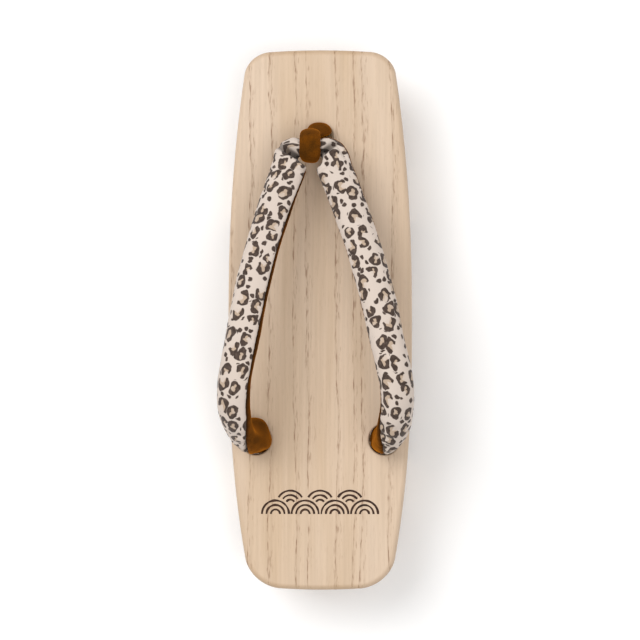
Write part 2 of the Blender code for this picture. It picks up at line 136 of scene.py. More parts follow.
# The front loop
LOOP_WIDTH = 0.0092
LOOP_THICKNESS = 0.0021
LOOP_LEG_WIDTH = 0.0084
LOOP_LEG_THICKNESS = 0.0046
LOOP_DEPTH = 0.009
LOOP_LEG_GAP = 0.0005
LOOP_SLACK = 0.0045  # how far the rear leg hangs down before it turns to the hole
LOOP_FROM = 205  # degrees round the strap, where the band leaves its rear leg
LOOP_TO = -12
LOOP_BULGE = 0.0017  # how far the band stands off the strap on the toe's side
LOOP_TAPER = 0.2  # how much narrower the band is where it turns down over the strap
LEG_SWELL = 0.0026  # how far the legs swell over the rim of their hole
LEG_SWELL_UP = 0.0024  # the place above the board where they swell most, and how far that reaches
LEG_SWELL_REACH = 0.0032
LEG_LEAN = 0.0001
BAND_BELLY = 0.00055  # how much fuller the band is than a flat one
BAND_UNEVEN = 0.00022
BAND_UNEVEN_OVER = 0.0035
BAND_ROUNDNESS = 2.6

# The waves burned into the heel: two rows of fans, the front row over the one behind
WAVES = 4
WAVE_RINGS = 3
WAVE_SPACING = 0.0132
WAVE_RADIUS = 0.0060
WAVE_STEP = 0.0044
WAVE_BASE = -0.0862
WAVE_LINE = 0.0010
WAVE_DEPTH = 0.0005
WAVE_UNEVEN = 0.45  # how much broader or finer a line gets as the iron is pressed
WAVE_UNEVEN_OVER = 0.0024

CLEARANCE = 0.0003
MARGIN = 0.010  # how far a cutter runs past what it cuts
CORD_SPACING = 0.0007  # between two sections of a cord
STRAND_GROOVE = 0.20  # of a cord's radius
KNOT_SPREAD = 0.84  # the front knot's size across and its rise, in cord radii
KNOT_RISE = 0.95
RING_LEAN = 0.22  # of the year rings: sideways, for each millimetre of height
SMALL_SPOTS_CLOSER = 1.7  # than the ringed spots of the print are to each other

# The stage
FLOOR_REACH = 3.0
CAMERA_RISE = 1.5
CAMERA_ASIDE = 0.042
CAMERA_LENS = 190  # millimetres

# One arm of the strap, from the apex to the rear hole.
# back: of the way from the front hole to the rear hole; out: of the way from the apex to the reach;
# home: of the way from there to the rear hole's middle; rise: of STRAP_RISE;
# wide, thick: of the strap's width and thickness; swing: degrees that the width line turns from straight
# sideways towards the toe; roll: degrees that the lining turns inwards and up.
ARM = (
    dict(back=0.105, out=0.275, home=0.0, rise=0.490, wide=1.00, thick=0.93, swing=22, roll=3),
    dict(back=0.160, out=0.345, home=0.0, rise=0.560, wide=1.00, thick=0.97, swing=20, roll=4),
    dict(back=0.250, out=0.463, home=0.0, rise=0.665, wide=1.00, thick=1.00, swing=19, roll=5),
    dict(back=0.375, out=0.612, home=0.0, rise=0.790, wide=0.99, thick=1.00, swing=17, roll=6),
    dict(back=0.497, out=0.734, home=0.0, rise=0.890, wide=0.98, thick=1.00, swing=14, roll=6),
    dict(back=0.583, out=0.805, home=0.0, rise=0.945, wide=0.98, thick=1.00, swing=12, roll=6),
    dict(back=0.678, out=0.878, home=0.0, rise=0.990, wide=0.97, thick=1.00, swing=11, roll=8),
    dict(back=0.742, out=0.931, home=0.0, rise=1.000, wide=0.96, thick=1.00, swing=9, roll=12),
    dict(back=0.812, out=0.980, home=0.0, rise=0.965, wide=0.96, thick=1.00, swing=4, roll=20),
    dict(back=0.876, out=1.000, home=0.03, rise=0.880, wide=0.98, thick=1.04, swing=-5, roll=32),
    dict(back=0.926, out=1.000, home=0.14, rise=0.745, wide=1.02, thick=1.10, swing=-14, roll=47),
    dict(back=0.962, out=1.000, home=0.32, rise=0.570, wide=1.04, thick=1.16, swing=-20, roll=62),
    dict(back=0.985, out=1.000, home=0.54, rise=0.390, wide=1.02, thick=1.18, swing=-22, roll=74),
    dict(back=0.998, out=1.000, home=0.77, rise=0.220, wide=0.94, thick=1.18, swing=-18, roll=82),
    dict(back=1.002, out=1.000, home=0.93, rise=0.090, wide=0.84, thick=1.14, swing=-9, roll=86),
)
# The bend from the loop's side to the arm's first row, where the strap fans out.
# over, back, rise, wide: of the way from the apex's own values to that row's; swing as above.
BEND = (
    dict(over=0.00, back=0.00, rise=0.00, wide=0.00, swing=90),
    dict(over=0.38, back=0.06, rise=0.10, wide=0.33, swing=82),
    dict(over=0.74, back=0.32, rise=0.35, wide=0.70, swing=57),
    dict(over=0.92, back=0.63, rise=0.65, wide=0.92, swing=36),
)
# The end in the rear hole. sink: of STRAP_DEPTH; wide, thick: of what the hole holds; swing, roll as above.
MOUTH = (
    dict(sink=0.0, wide=0.94, thick=0.86, swing=0, roll=88),
    dict(sink=0.35, wide=0.98, thick=0.96, swing=0, roll=88),
    dict(sink=1.0, wide=0.98, thick=0.98, swing=0, roll=88),
)
# Where the seams lie round a section, in degrees that each is turned up from the section's own edge.
# along: millimetres from the apex; inner: the inner seam; outer: the outer seam
SEAMS = {
    -1: (
        dict(along=0, inner=2, outer=4),
        dict(along=16, inner=16, outer=-6),
        dict(along=40, inner=25, outer=-14),
        dict(along=95, inner=22, outer=-14),
        dict(along=118, inner=10, outer=-8),
        dict(along=130, inner=8, outer=-4),
        dict(along=142, inner=30, outer=0),
        dict(along=158, inner=44, outer=-2),
        dict(along=170, inner=46, outer=4),
    ),
    1: (
        dict(along=0, inner=0, outer=6),
        dict(along=12, inner=-2, outer=12),
        dict(along=34, inner=-3, outer=6),
        dict(along=60, inner=-4, outer=-2),
        dict(along=100, inner=-6, outer=-4),
        dict(along=122, inner=-15, outer=-4),
        dict(along=136, inner=-16, outer=-4),
        dict(along=150, inner=10, outer=0),
        dict(along=170, inner=20, outer=8),
    ),
}
# Folds pressed into the strap by hand where it turns out of the loop, as straight lines seen from above.
# side: -1 left, 1 right; x, y, to_x, to_y: the ends in millimetres; deep, broad: millimetres, and less than
# nothing deep is a swelling
FOLDS = (
    dict(side=-1, x=-7.0, y=69.6, to_x=-18.5, to_y=76.6, deep=3.0, broad=0.80),
    dict(side=-1, x=-9.0, y=67.6, to_x=-17.0, to_y=72.6, deep=-0.8, broad=2.0),
    dict(side=-1, x=-9.5, y=65.0, to_x=-13.5, to_y=68.6, deep=0.5, broad=0.7),
    dict(side=-1, x=-6.0, y=68.2, to_x=-9.0, to_y=66.5, deep=-1.1, broad=2.2),
    dict(side=1, x=-2.2, y=70.6, to_x=7.2, to_y=76.6, deep=3.0, broad=0.80),
    dict(side=1, x=0.0, y=68.9, to_x=7.0, to_y=73.4, deep=-0.8, broad=2.0),
    dict(side=1, x=1.5, y=65.8, to_x=5.0, to_y=69.0, deep=0.5, broad=0.7),
    dict(side=1, x=-1.8, y=69.2, to_x=1.0, to_y=66.8, deep=-1.1, broad=2.2),
    dict(side=1, x=9.0, y=75.0, to_x=13.0, to_y=69.5, deep=0.6, broad=0.6),
)
# Creases across the cotton where the strap bends down to its hole.
# along: millimetres from the apex, at the cloth's middle; lean: how far along the crease runs for each
# millimetre outwards; first, last: its ends across the cloth from the middle, outwards positive
CREASES = (
    dict(side=-1, along=139, lean=0.15, first=-12, last=0, deep=0.40, broad=1.2),
    dict(side=-1, along=146, lean=0.30, first=-12, last=1, deep=0.55, broad=1.2),
    dict(side=-1, along=152, lean=0.20, first=-12, last=3, deep=0.60, broad=1.1),
    dict(side=1, along=137, lean=0.10, first=-12, last=-1, deep=0.35, broad=1.2),
    dict(side=1, along=144, lean=0.30, first=-12, last=0, deep=0.50, broad=1.2),
    dict(side=1, along=151, lean=0.20, first=-12, last=3, deep=0.60, broad=1.1),
)
# Beside the rear holes. swell: how far the lining swells over the inner rim; hollow: how far it is drawn in
# above that; out, ahead: how far the strap leans outwards and to the toe at the rim; thin: of its size, what it
# loses there
AT_HOLE = {
    -1: dict(swell=0.0031, hollow=0.0014, out=0.0001, ahead=0.0007, thin=0.05),
    1: dict(swell=0.0006, hollow=0.0, out=0.0002, ahead=0.0006, thin=0.04),
}
LEAN_UP = 0.010  # how far the lean and the thinning reach, above the rim and below it
LEAN_DOWN = 0.0022
SWELL_AT = 0.006  # the place above the rim where the lining swells most, and how far that reaches
SWELL_UP = 0.010
SWELL_DOWN = 0.005
SWELL_FROM_SEAM = 0.0025
HOLLOW_AT = 0.025
HOLLOW_REACH = 0.009
RIM_INWARDS = 0.75  # the way that the swelling faces: inwards, and to the toe
RIM_TO_TOE = 0.66
# The tie under the board, from one hole to its free end beside the knot: a reef knot's half, in cord radii
# from the knot's middle; the other cord is the same, turned half round and upside down
REEF = (
    dict(x=-7.0, y=1.15, z=0.0),
    dict(x=-5.2, y=1.15, z=0.5),
    dict(x=-3.4, y=1.10, z=1.05),
    dict(x=-1.7, y=1.50, z=0.15),
    dict(x=0.0, y=2.05, z=-1.0),
    dict(x=1.9, y=2.45, z=-0.1),
    dict(x=3.3, y=1.80, z=0.95),
    dict(x=4.1, y=0.0, z=1.1),
    dict(x=3.3, y=-1.80, z=0.95),
    dict(x=1.9, y=-2.45, z=-0.1),
    dict(x=0.0, y=-2.05, z=-1.0),
    dict(x=-1.7, y=-1.50, z=0.15),
    dict(x=-3.4, y=-1.10, z=1.05),
    dict(x=-5.2, y=-1.20, z=0.5),
    dict(x=-7.4, y=-1.60, z=-0.2),
    dict(x=-9.6, y=-2.60, z=-0.6),
)

FRONT_HOLE_Y = BOARD_LENGTH / 2 - FRONT_HOLE_FROM_TOE
REAR_HOLE_Y = REAR_HOLE_FROM_HEEL - BOARD_LENGTH / 2
UNDERSIDE = HEIGHT - BOARD_THICKNESS
KNOT_RADIUS = FRONT_HOLE_RADIUS + KNOT_OVERHANG
RECESS_RADIUS = KNOT_RADIUS + RECESS_ROOM
APEX = Vector((-APEX_LEFT, FRONT_HOLE_Y - APEX_BACK, HEIGHT + APEX_RISE))


def linear(hex_colour):
    """The linear colour of an sRGB hex value."""
    channels = [int(hex_colour[i : i + 2], 16) / 255 for i in (1, 3, 5)]
    return [c / 12.92 if c <= 0.04045 else ((c + 0.055) / 1.055) ** 2.4 for c in channels] + [1.0]


def colour(name, hex_colour, description):
    """A colour that a user may change."""
    return FloatVectorProperty(
        name=name, description=description, default=linear(hex_colour), subtype="COLOR", size=4, min=0, max=1
    )


class GetaWood(bpy.types.PropertyGroup):
    pale: colour("Pale wood", "#D3BBA2", "The board between its year rings")
    warm: colour("Warm wood", "#C8AD8F", "The board's broader, warmer bands")
    ring: colour("Ring line", "#80593A", "The pores along each year ring")
    char: colour("Burned wood", "#2C160A", "The bottom of the burned pattern")
    ring_spacing: FloatProperty(
        name="Ring spacing",
        description="Mean distance between two ring lines on the board",
        default=8.5 * MM,
        subtype="DISTANCE",
        unit="LENGTH",
    )


class GetaStrap(bpy.types.PropertyGroup):
    ground: colour("Cotton ground", "#D0C1B5", "The printed cotton between its spots")
    spot: colour("Spot", "#3B2C23", "The dark rings and spots of the print")
    centre: colour("Spot centre", "#B49C84", "The inside of each ringed spot")
    spot_spacing: FloatProperty(
        name="Spot spacing",
        description="Mean distance between two ringed spots",
        default=7.3 * MM,
        subtype="DISTANCE",
        unit="LENGTH",
    )


class GetaVelvet(bpy.types.PropertyGroup):
    pile: colour("Velvet", "#6C3B02", "The velvet of the lining and the front loop")
    shaded: colour("Brushed velvet", "#4C2A02", "Where the pile lies the other way")
    tips: colour("Pile tips", "#E58A10", "The light that the tips of the pile catch")


class GetaCord(bpy.types.PropertyGroup):
    cord: colour("Cord", "#D8C9AE", "The twisted hemp cords under the board")
    thickness: FloatProperty(
        name="Cord thickness",
        description="Diameter of a twisted cord",
        default=3.4 * MM,
        subtype="DISTANCE",
        unit="LENGTH",
    )


def fill_inputs(tree, node, inputs):
    """Sets a node's inputs, given by name or in their order. Each is a value, the socket that it is linked to, or
    a node, which stands for its first output."""
    offered = [socket for socket in node.inputs if socket.enabled]
    pairs = inputs.items() if isinstance(inputs, dict) else zip(offered, inputs)
    for target, value in pairs:
        if isinstance(target, str):
            target = next(socket for socket in offered if socket.name == target)
        if isinstance(value, bpy.types.Node):
            value = next(socket for socket in value.outputs if socket.enabled)
        if isinstance(value, bpy.types.NodeSocket):
            tree.links.new(value, target)
        else:
            target.default_value = value


def add_node(tree, kind, inputs=(), stops=(), **settings):
    """A node with its settings, its inputs and its links. Stops are a colour ramp's places and greys."""
    made = tree.nodes.new("ShaderNode" + kind)
    for name, value in settings.items():
        setattr(made, name, value)
    fill_inputs(tree, made, inputs)
    if stops:
        elements = made.color_ramp.elements
        while len(elements) < len(stops):
            elements.new(0.5)
        for element, (place, grey) in zip(elements, stops):
            element.position = place
            element.color = (grey, grey, grey, 1)
    return made


def new_material(name):
    """A new material, what adds its nodes, and what fills in its surface."""
    made = bpy.data.materials.new(name)
    made.use_nodes = True
    tree = made.node_tree
    return made, partial(add_node, tree), partial(fill_inputs, tree, tree.nodes["Principled BSDF"])


def paulownia(settings):
    """Paulownia, quarter-sawn and planed: pale and silky, with straight thin lines of open pores along the year
    rings, which run on down the end grain."""
    made, add, finish = new_material("Paulownia, planed")
    place = add("NewGeometry")
    # Noises stretched along the board: their size in millimetres across, along and down, and their detail.
    # Pores are 0.3 mm wide and 3 to 8 mm long; drawn 0.6 mm wide, so that the picture still shows them.
    noises = []
    for size, detail in (
        ((30, 110, 50), 4.0),
        ((9, 16, 9), 3.0),
        ((0.6, 4.5, 0.6), 2.0),
        ((1.1, 45, 1.1), 3.0),
        ((14, 160, 14), 2.0),
    ):
        stretched = add("Mapping", {"Vector": place, "Scale": [1 / (length * MM) for length in size]})
        noises.append(add("TexNoise", {"Vector": stretched, "Scale": 1.0, "Detail": detail}))
    wander, ripple, pores, fibre, bands = noises
    # The year rings stand nearly upright in the block, and wander a little on their way along it
    axes = add("SeparateXYZ", (place,))
    across = add("Math", (axes.outputs["Z"], RING_LEAN, axes.outputs["X"]), operation="MULTIPLY_ADD")
    across = add("Math", (wander, 9 * MM, across), operation="MULTIPLY_ADD")
    across = add("Math", (ripple, 1.6 * MM, across), operation="MULTIPLY_ADD")
    rings = add(
        "TexVoronoi",
        {"W": across, "Scale": 1 / settings.ring_spacing, "Randomness": 0.75},
        voronoi_dimensions="1D",
    )
    beyond = add("Math", (across, rings.outputs["W"]), operation="SUBTRACT")
    # One ring: pores open at a sharp line and thin out over the next 2 mm
    from_line = add("MapRange", {"Value": beyond, "From Min": -5 * MM, "From Max": 5 * MM})
    line = add(
        "ValToRGB",
        (from_line,),
        stops=((0.46, 0.0), (0.492, 0.4), (0.506, 1.0), (0.53, 0.35), (0.6, 0.1), (0.74, 0.0)),
    )
    near = add("ValToRGB", (from_line,), stops=((0.42, 0.15), (0.5, 1.0), (0.66, 0.7), (0.82, 0.15)))
    broken = add("ValToRGB", (pores,), stops=((0.36, 0.12), (0.50, 0.5), (0.62, 1.0)))
    line = add("Math", (line, broken), operation="MULTIPLY")
    open_pores = add("ValToRGB", (pores,), stops=((0.58, 0.0), (0.68, 1.0)))
    tone = add("ValToRGB", (bands,), stops=((0.35, 0.0), (0.68, 1.0)))
    shade = add("ValToRGB", (fibre,), stops=((0.30, 0.94), (0.66, 1.03)))
    scattered = add("Math", (open_pores, near), operation="MULTIPLY")
    wood = add("Mix", (tone, settings.pale, settings.warm), data_type="RGBA")
    wood = add("Mix", (1.0, wood, shade), data_type="RGBA", blend_type="MULTIPLY")
    for pore, strength in ((scattered, 0.5), (line, 0.9)):
        shown = add("Math", (pore, strength), operation="MULTIPLY")
        wood = add("Mix", (shown, wood, settings.ring), data_type="RGBA")
    # End grain drinks the finish and looks darker
    facing = add("SeparateXYZ", (place.outputs["Normal"],)).outputs["Y"]
    end_grain = add("Math", (add("Math", (facing,), operation="ABSOLUTE"), 0.45), operation="MULTIPLY")
    wood = add("Mix", (end_grain, wood, linear("#AD8963")), data_type="RGBA")
    grain = add("Math", (line, -0.7, fibre), operation="MULTIPLY_ADD")
    finish(
        {
            "Base Color": wood,
            "Normal": add("Bump", {"Height": grain, "Distance": 0.10 * MM, "Strength": 0.6}),
            "Roughness": add("ValToRGB", (fibre,), stops=((0.3, 0.62), (0.7, 0.50))),
            "IOR": 1.5,
        }
    )
    return made


def burned_wood(settings):
    """Paulownia burned with a hot iron: dark brown, matt and slightly uneven at the bottom of each line."""
    made, add, finish = new_material("Paulownia, burned")
    soot = add("TexNoise", {"Vector": add("NewGeometry"), "Scale": 1 / (1.5 * MM), "Detail": 3.0})
    depth = add("ValToRGB", (soot,), stops=((0.35, 0.0), (0.7, 0.6)))
    finish(
        {
            "Base Color": add("Mix", (depth, settings.char, linear("#5C3820")), data_type="RGBA"),
            "Normal": add("Bump", {"Height": soot, "Distance": 0.1 * MM, "Strength": 0.5}),
            "Roughness": 0.8,
        }
    )
    return made


def in_shadow(add, cloth_colour):
    """The cloth's colour, nearly black where the strap's mesh says that a seam or fold takes the light."""
    depth = add("Attribute", attribute_name="shadow").outputs["Fac"]
    dark = add("Math", (depth, 0.92), operation="MULTIPLY")
    return add("Mix", (dark, cloth_colour, linear("#241509")), data_type="RGBA")


def printed_cotton(settings):
    """Plain-woven cotton printed with a spotted pattern: broken dark rings with tan centres on an off-white
    ground, soft at their edges as ink in cloth is."""
    made, add, finish = new_material("Cotton, plain-woven and printed")
    cloth = add("Attribute", attribute_name="cloth").outputs["Vector"]
    wobble = add("TexNoise", {"Vector": cloth, "Scale": 1 / (3.6 * MM), "Detail": 2.0}).outputs["Color"]
    centred = add("VectorMath", (wobble, (0.5, 0.5, 0.5)), operation="SUBTRACT")
    shift = add("VectorMath", (centred, 2.6 * MM), operation="SCALE")
    drawn = add("VectorMath", (cloth, shift), operation="ADD")
    cells, small = (
        add(
            "TexVoronoi",
            {"Vector": drawn, "Scale": closer / settings.spot_spacing, "Randomness": randomness},
            voronoi_dimensions="2D",
        )
        for closer, randomness in ((1, 0.62), (SMALL_SPOTS_CLOSER, 0.9))
    )
    dice = add("SeparateColor", (cells.outputs["Color"],)).outputs
    away = add("VectorMath", (drawn, cells.outputs["Position"]), operation="SUBTRACT")
    axes = add("SeparateXYZ", (away,)).outputs
    angle = add("Math", (axes["Y"], axes["X"]), operation="ARCTAN2")
    reach = add("VectorMath", (away,), operation="LENGTH")
    # The ring: 1.4 to 2.8 mm from its middle, longer one way; its stroke thins to nothing at its opening
    turn = add("Math", (dice["Red"], 2 * pi, angle), operation="MULTIPLY_ADD")
    long_way = add("Math", (angle, 2.0, dice["Green"]), operation="MULTIPLY_ADD")
    long_way = add("Math", (long_way,), operation="COSINE")
    radius = add("Math", (dice["Blue"], 0.8 * MM, 1.65 * MM), operation="MULTIPLY_ADD")
    radius = add("Math", (long_way, 0.30 * MM, radius), operation="MULTIPLY_ADD")
    to_opening = add("Math", (turn,), operation="COSINE")
    opening = add(
        "MapRange",
        {"Value": to_opening, "From Min": 0.5, "From Max": 1.0, "To Max": 1.7 * MM},
        interpolation_type="SMOOTHSTEP",
    )
    opens = add(
        "MapRange", {"Value": dice["Green"], "From Min": 0.55, "From Max": 0.75, "To Min": 1.0, "To Max": 0.25}
    )
    opening = add("Math", (opening, opens), operation="MULTIPLY")
    lobes = add("Math", (turn, 3.0, dice["Green"]), operation="MULTIPLY_ADD")
    lobes = add("Math", (lobes,), operation="SINE")
    stroke = add("Math", (lobes, 0.36 * MM, 0.92 * MM), operation="MULTIPLY_ADD")
    stroke = add("Math", (stroke, opening), operation="SUBTRACT")
    past_ring = add("Math", (reach, radius), operation="SUBTRACT")
    off_ring = add("Math", (past_ring,), operation="ABSOLUTE")
    inked = add("Math", (stroke, off_ring), operation="SUBTRACT")
    # Small solid spots fill the room between the rings
    off_spot = add("Math", (small, settings.spot_spacing / SMALL_SPOTS_CLOSER), operation="MULTIPLY")
    room = add("Math", (reach, 3.2 * MM), operation="SUBTRACT")
    room = add("Math", (room, 2.2), operation="MULTIPLY")
    spot = add("Math", (room, 1.1 * MM), operation="MINIMUM")
    spot = add("Math", (spot, off_spot), operation="SUBTRACT")
    ink = add("Math", (inked, spot), operation="MAXIMUM")
    ink = add("MapRange", {"Value": ink, "From Min": -0.12 * MM, "From Max": 0.16 * MM})
    within = add("Math", (radius, reach), operation="SUBTRACT")
    inside = add("MapRange", {"Value": within, "From Min": 0.0, "From Max": 0.5 * MM})
    closed = add("MapRange", {"Value": opening, "From Max": 1.2 * MM, "To Min": 0.85, "To Max": 0.1})
    inside = add("Math", (inside, closed), operation="MULTIPLY")
    dye = add("Mix", (inside, settings.ground, settings.centre), data_type="RGBA")
    patchy = add("TexNoise", {"Vector": cloth, "Scale": 1 / (1.4 * MM), "Detail": 2.0})
    worn = add("ValToRGB", (patchy,), stops=((0.4, 0.0), (0.75, 0.25)))
    brown = add("Mix", (worn, settings.spot, linear("#8A766A")), data_type="RGBA")
    dye = add("Mix", (ink, dye, brown), data_type="RGBA")
    # Threads are 0.35 mm apart; drawn 0.9 mm apart, so that the picture still shows a weave
    threads = []
    for way in "XY":
        along = add("SeparateXYZ", (cloth,)).outputs[way]
        phase = add("Math", (along, 2 * pi / (0.9 * MM)), operation="MULTIPLY")
        threads.append(add("Math", (phase,), operation="SINE"))
    weave = add("Math", threads, operation="MULTIPLY")
    finish(
        {
            "Base Color": in_shadow(add, dye),
            "Normal": add("Bump", {"Height": weave, "Distance": 0.05 * MM, "Strength": 0.35}),
            "Roughness": 0.86,
            "IOR": 1.46,
            "Sheen Weight": 0.12,
            "Sheen Roughness": 0.5,
        }
    )
    return made


def velvet(settings):
    """Cotton velvet: deep and matt where it is seen straight on, with bright pile tips at its edges and cloudy
    patches where the pile is brushed another way."""
    made, add, finish = new_material("Velvet, cut pile")
    place = add("NewGeometry")
    brushed = add("TexNoise", {"Vector": place, "Scale": 1 / (7 * MM), "Detail": 3.0})
    cloud = add("ValToRGB", (brushed,), stops=((0.35, 0.0), (0.65, 1.0)))
    nap = add("Mix", (cloud, settings.pile, settings.shaded), data_type="RGBA")
    # Tufts are 0.15 mm across; drawn 0.5 mm across, so that the picture still shows them
    tufts = add("TexNoise", {"Vector": place, "Scale": 1 / (0.5 * MM), "Detail": 2.0})
    speckle = add("ValToRGB", (tufts,), stops=((0.3, 0.72), (0.7, 1.12)))
    nap = add("Mix", (1.0, nap, speckle), data_type="RGBA", blend_type="MULTIPLY")
    finish(
        {
            "Base Color": in_shadow(add, nap),
            "Normal": add("Bump", {"Height": tufts, "Distance": 0.12 * MM, "Strength": 0.5}),
            "Roughness": 0.95,
            "Specular IOR Level": 0.1,
            "Sheen Weight": 0.7,
            "Sheen Roughness": 0.38,
            "Sheen Tint": settings.tips,
        }
    )
    return made


def shared_velvet(settings):
    """The velvet, which the strap's lining and the front loop share."""
    return bpy.data.materials.get("Velvet, cut pile") or velvet(settings)


def twisted_cord(settings):
    """Undyed hemp cord, twisted from strands: matt, with fine fibres along each strand."""
    made, add, finish = new_material("Hemp cord, twisted")
    fluff = add("TexNoise", {"Vector": add("NewGeometry"), "Scale": 1 / (0.6 * MM), "Detail": 3.0})
    shade = add("ValToRGB", (fluff,), stops=((0.3, 0.8), (0.7, 1.08)))
    finish(
        {
            "Base Color": add("Mix", (1.0, settings.cord, shade), data_type="RGBA", blend_type="MULTIPLY"),
            "Normal": add("Bump", {"Height": fluff, "Distance": 0.1 * MM, "Strength": 0.5}),
            "Roughness": 0.9,
            "Sheen Weight": 0.2,
        }
    )
    return made


def add_piece(name, bm, materials):
    """The mesh as an object of its own in the scene, shaded smooth."""
    mesh = bpy.data.meshes.new(name)
    bm.to_mesh(mesh)
    bm.free()
    mesh.shade_smooth()
    for material in materials:
        mesh.materials.append(material)
    obj = bpy.data.objects.new(name, mesh)
    bpy.context.scene.collection.objects.link(obj)
    return obj


def half_width(from_toe):
    """Half of the board's width at a distance from its toe end, before its corners are rounded."""
    if from_toe < WIDEST_FROM_TOE:
        share = (WIDEST_FROM_TOE - from_toe) / WIDEST_FROM_TOE
        drop = (BOARD_WIDTH - TOE_END_WIDTH) * share**TOE_SWELL
    else:
        share = (from_toe - WIDEST_FROM_TOE) / (BOARD_LENGTH - WIDEST_FROM_TOE)
        drop = (BOARD_WIDTH - HEEL_END_WIDTH) * share**HEEL_SWELL
    return (BOARD_WIDTH - drop) / 2


def corner(radius, crown, at_toe, steps=14):
    """One rounded corner, from the end's middle out to the side, on the right."""
    flat = half_width(0 if at_toe else BOARD_LENGTH) - radius
    points = [(flat * step / 8, crown * (step / 8) ** 2) for step in range(8)]
    for step in range(steps + 1):
        angle = pi / 2 * step / steps
        inset = radius * (1 - cos(angle))
        from_toe = inset if at_toe else BOARD_LENGTH - inset
        across = half_width(from_toe) - radius * (1 - sin(angle))
        points.append((across, inset + crown * (1 - inset / radius)))
    return [(x, BOARD_LENGTH / 2 - inset if at_toe else inset - BOARD_LENGTH / 2) for x, inset in points]


def board_outline(side_steps=56):
    """The board seen from above: points anticlockwise from the middle of the heel end."""
    heel = corner(HEEL_CORNER_RADIUS, HEEL_CROWN, at_toe=False)
    toe = corner(TOE_CORNER_RADIUS, TOE_CROWN, at_toe=True)
    first, last = BOARD_LENGTH - HEEL_CORNER_RADIUS, TOE_CORNER_RADIUS
    side = []
    for step in range(1, side_steps):
        from_toe = first + (last - first) * step / side_steps
        side.append((half_width(from_toe), BOARD_LENGTH / 2 - from_toe))
    right = heel + side + toe[::-1]
    left = [(-x, y) for x, y in right[-2:0:-1]]
    return right + left


def rounded(corners, steps=12):
    """A path through corners of (y, z, radius), with an arc of that radius at each."""
    path = []
    for i, (y, z, radius) in enumerate(corners):
        here = Vector((y, z))
        if not radius:
            path.append(here)
            continue
        before = (Vector(corners[i - 1][:2]) - here).normalized()
        after = (Vector(corners[(i + 1) % len(corners)][:2]) - here).normalized()
        half = before.angle(after) / 2
        centre = here + (before + after).normalized() * radius / sin(half)
        start = here + before * (radius * cos(half) / sin(half)) - centre
        turn = (pi - 2 * half) * (1 if before.cross(after) < 0 else -1)
        for step in range(steps + 1):
            path.append(centre + Matrix.Rotation(turn * step / steps, 2) @ start)
    return path


def side_profile():
    """What the saw leaves of the block, seen from the side: from the toe along the underside to the heel."""
    toe, heel = BOARD_LENGTH / 2, -BOARD_LENGTH / 2
    front_face = toe - FRONT_TOOTH_FROM_TOE
    front_back = front_face - TOOTH_THICKNESS
    rear_back = heel + REAR_TOOTH_FROM_HEEL
    rear_face = rear_back + TOOTH_THICKNESS
    toe_slope = (BOARD_THICKNESS - TOE_THICKNESS) / FRONT_TOOTH_FROM_TOE
    heel_slope = (BOARD_THICKNESS - HEEL_THICKNESS) / REAR_TOOTH_FROM_HEEL
    return rounded(
        (
            (toe + MARGIN, HEIGHT + MARGIN, 0),
            (toe + MARGIN, HEIGHT - TOE_THICKNESS + MARGIN * toe_slope, 0),
            (front_face, UNDERSIDE, TOOTH_COVE),
            (front_face, 0, TOOTH_EASING),
            (front_back, 0, TOOTH_EASING),
            (front_back, UNDERSIDE, TOOTH_COVE),
            (rear_face, UNDERSIDE, TOOTH_COVE),
            (rear_face, 0, TOOTH_EASING),
            (rear_back, 0, TOOTH_EASING),
            (rear_back, UNDERSIDE, TOOTH_COVE),
            (heel - MARGIN, HEIGHT - HEEL_THICKNESS + MARGIN * heel_slope, 0),
            (heel - MARGIN, HEIGHT + MARGIN, 0),
        )
    )


def extruded(points, direction):
    """A prism: the flat outline, and the same outline moved along the direction."""
    bm = bmesh.new()
    base = bm.faces.new([bm.verts.new(point) for point in points])
    moved = bmesh.ops.extrude_face_region(bm, geom=[base])["geom"]
    verts = [item for item in moved if isinstance(item, bmesh.types.BMVert)]
    bmesh.ops.translate(bm, verts=verts, vec=direction)
    bmesh.ops.recalc_face_normals(bm, faces=bm.faces)
    return bm


def round_rim(bm, height, radius, segments):
    """Rounds the edges that lie at one height."""
    rim = [edge for edge in bm.edges if all(abs(vert.co.z - height) < 1e-6 for vert in edge.verts)]
    bmesh.ops.bevel(bm, geom=rim, offset=radius, segments=segments, profile=0.5, affect="EDGES")


def turned(profile, place, steps=56):
    """A body turned round +Z: its profile of (radius, height) runs down its outer side."""
    bm = bmesh.new()
    verts = [bm.verts.new((radius, 0, height)) for radius, height in profile]
    edges = [bm.edges.new(pair) for pair in zip(verts, verts[1:])]
    bmesh.ops.spin(
        bm, geom=verts + edges, angle=2 * pi, steps=steps, axis=(0, 0, 1), cent=(0, 0, 0), use_merge=True
    )
    bmesh.ops.remove_doubles(bm, verts=bm.verts, dist=0.00001)
    bmesh.ops.translate(bm, verts=bm.verts, vec=place)
    bmesh.ops.recalc_face_normals(bm, faces=bm.faces)
    return bm


def underside_at(from_toe):
    """The height of the underside in front of the front tooth."""
    share = 1 - from_toe / FRONT_TOOTH_FROM_TOE
    return UNDERSIDE + (BOARD_THICKNESS - TOE_THICKNESS) * share


def recess_ceiling():
    """The height of the recess's flat top, where the front hole runs into it."""
    return underside_at(FRONT_HOLE_FROM_TOE) + RECESS_DEPTH


def eased_rim(radius, level, way, steps=4):
    """The quarter round of a hole's rim, from the surface at a level down or up (way -1 or 1) the wall."""
    points = []
    for step in range(steps + 1):
        angle = pi / 2 * step / steps
        points.append(
            (radius + HOLE_EASING * (1 - sin(angle)), level + way * HOLE_EASING * (1 - cos(angle)))
        )
    return points


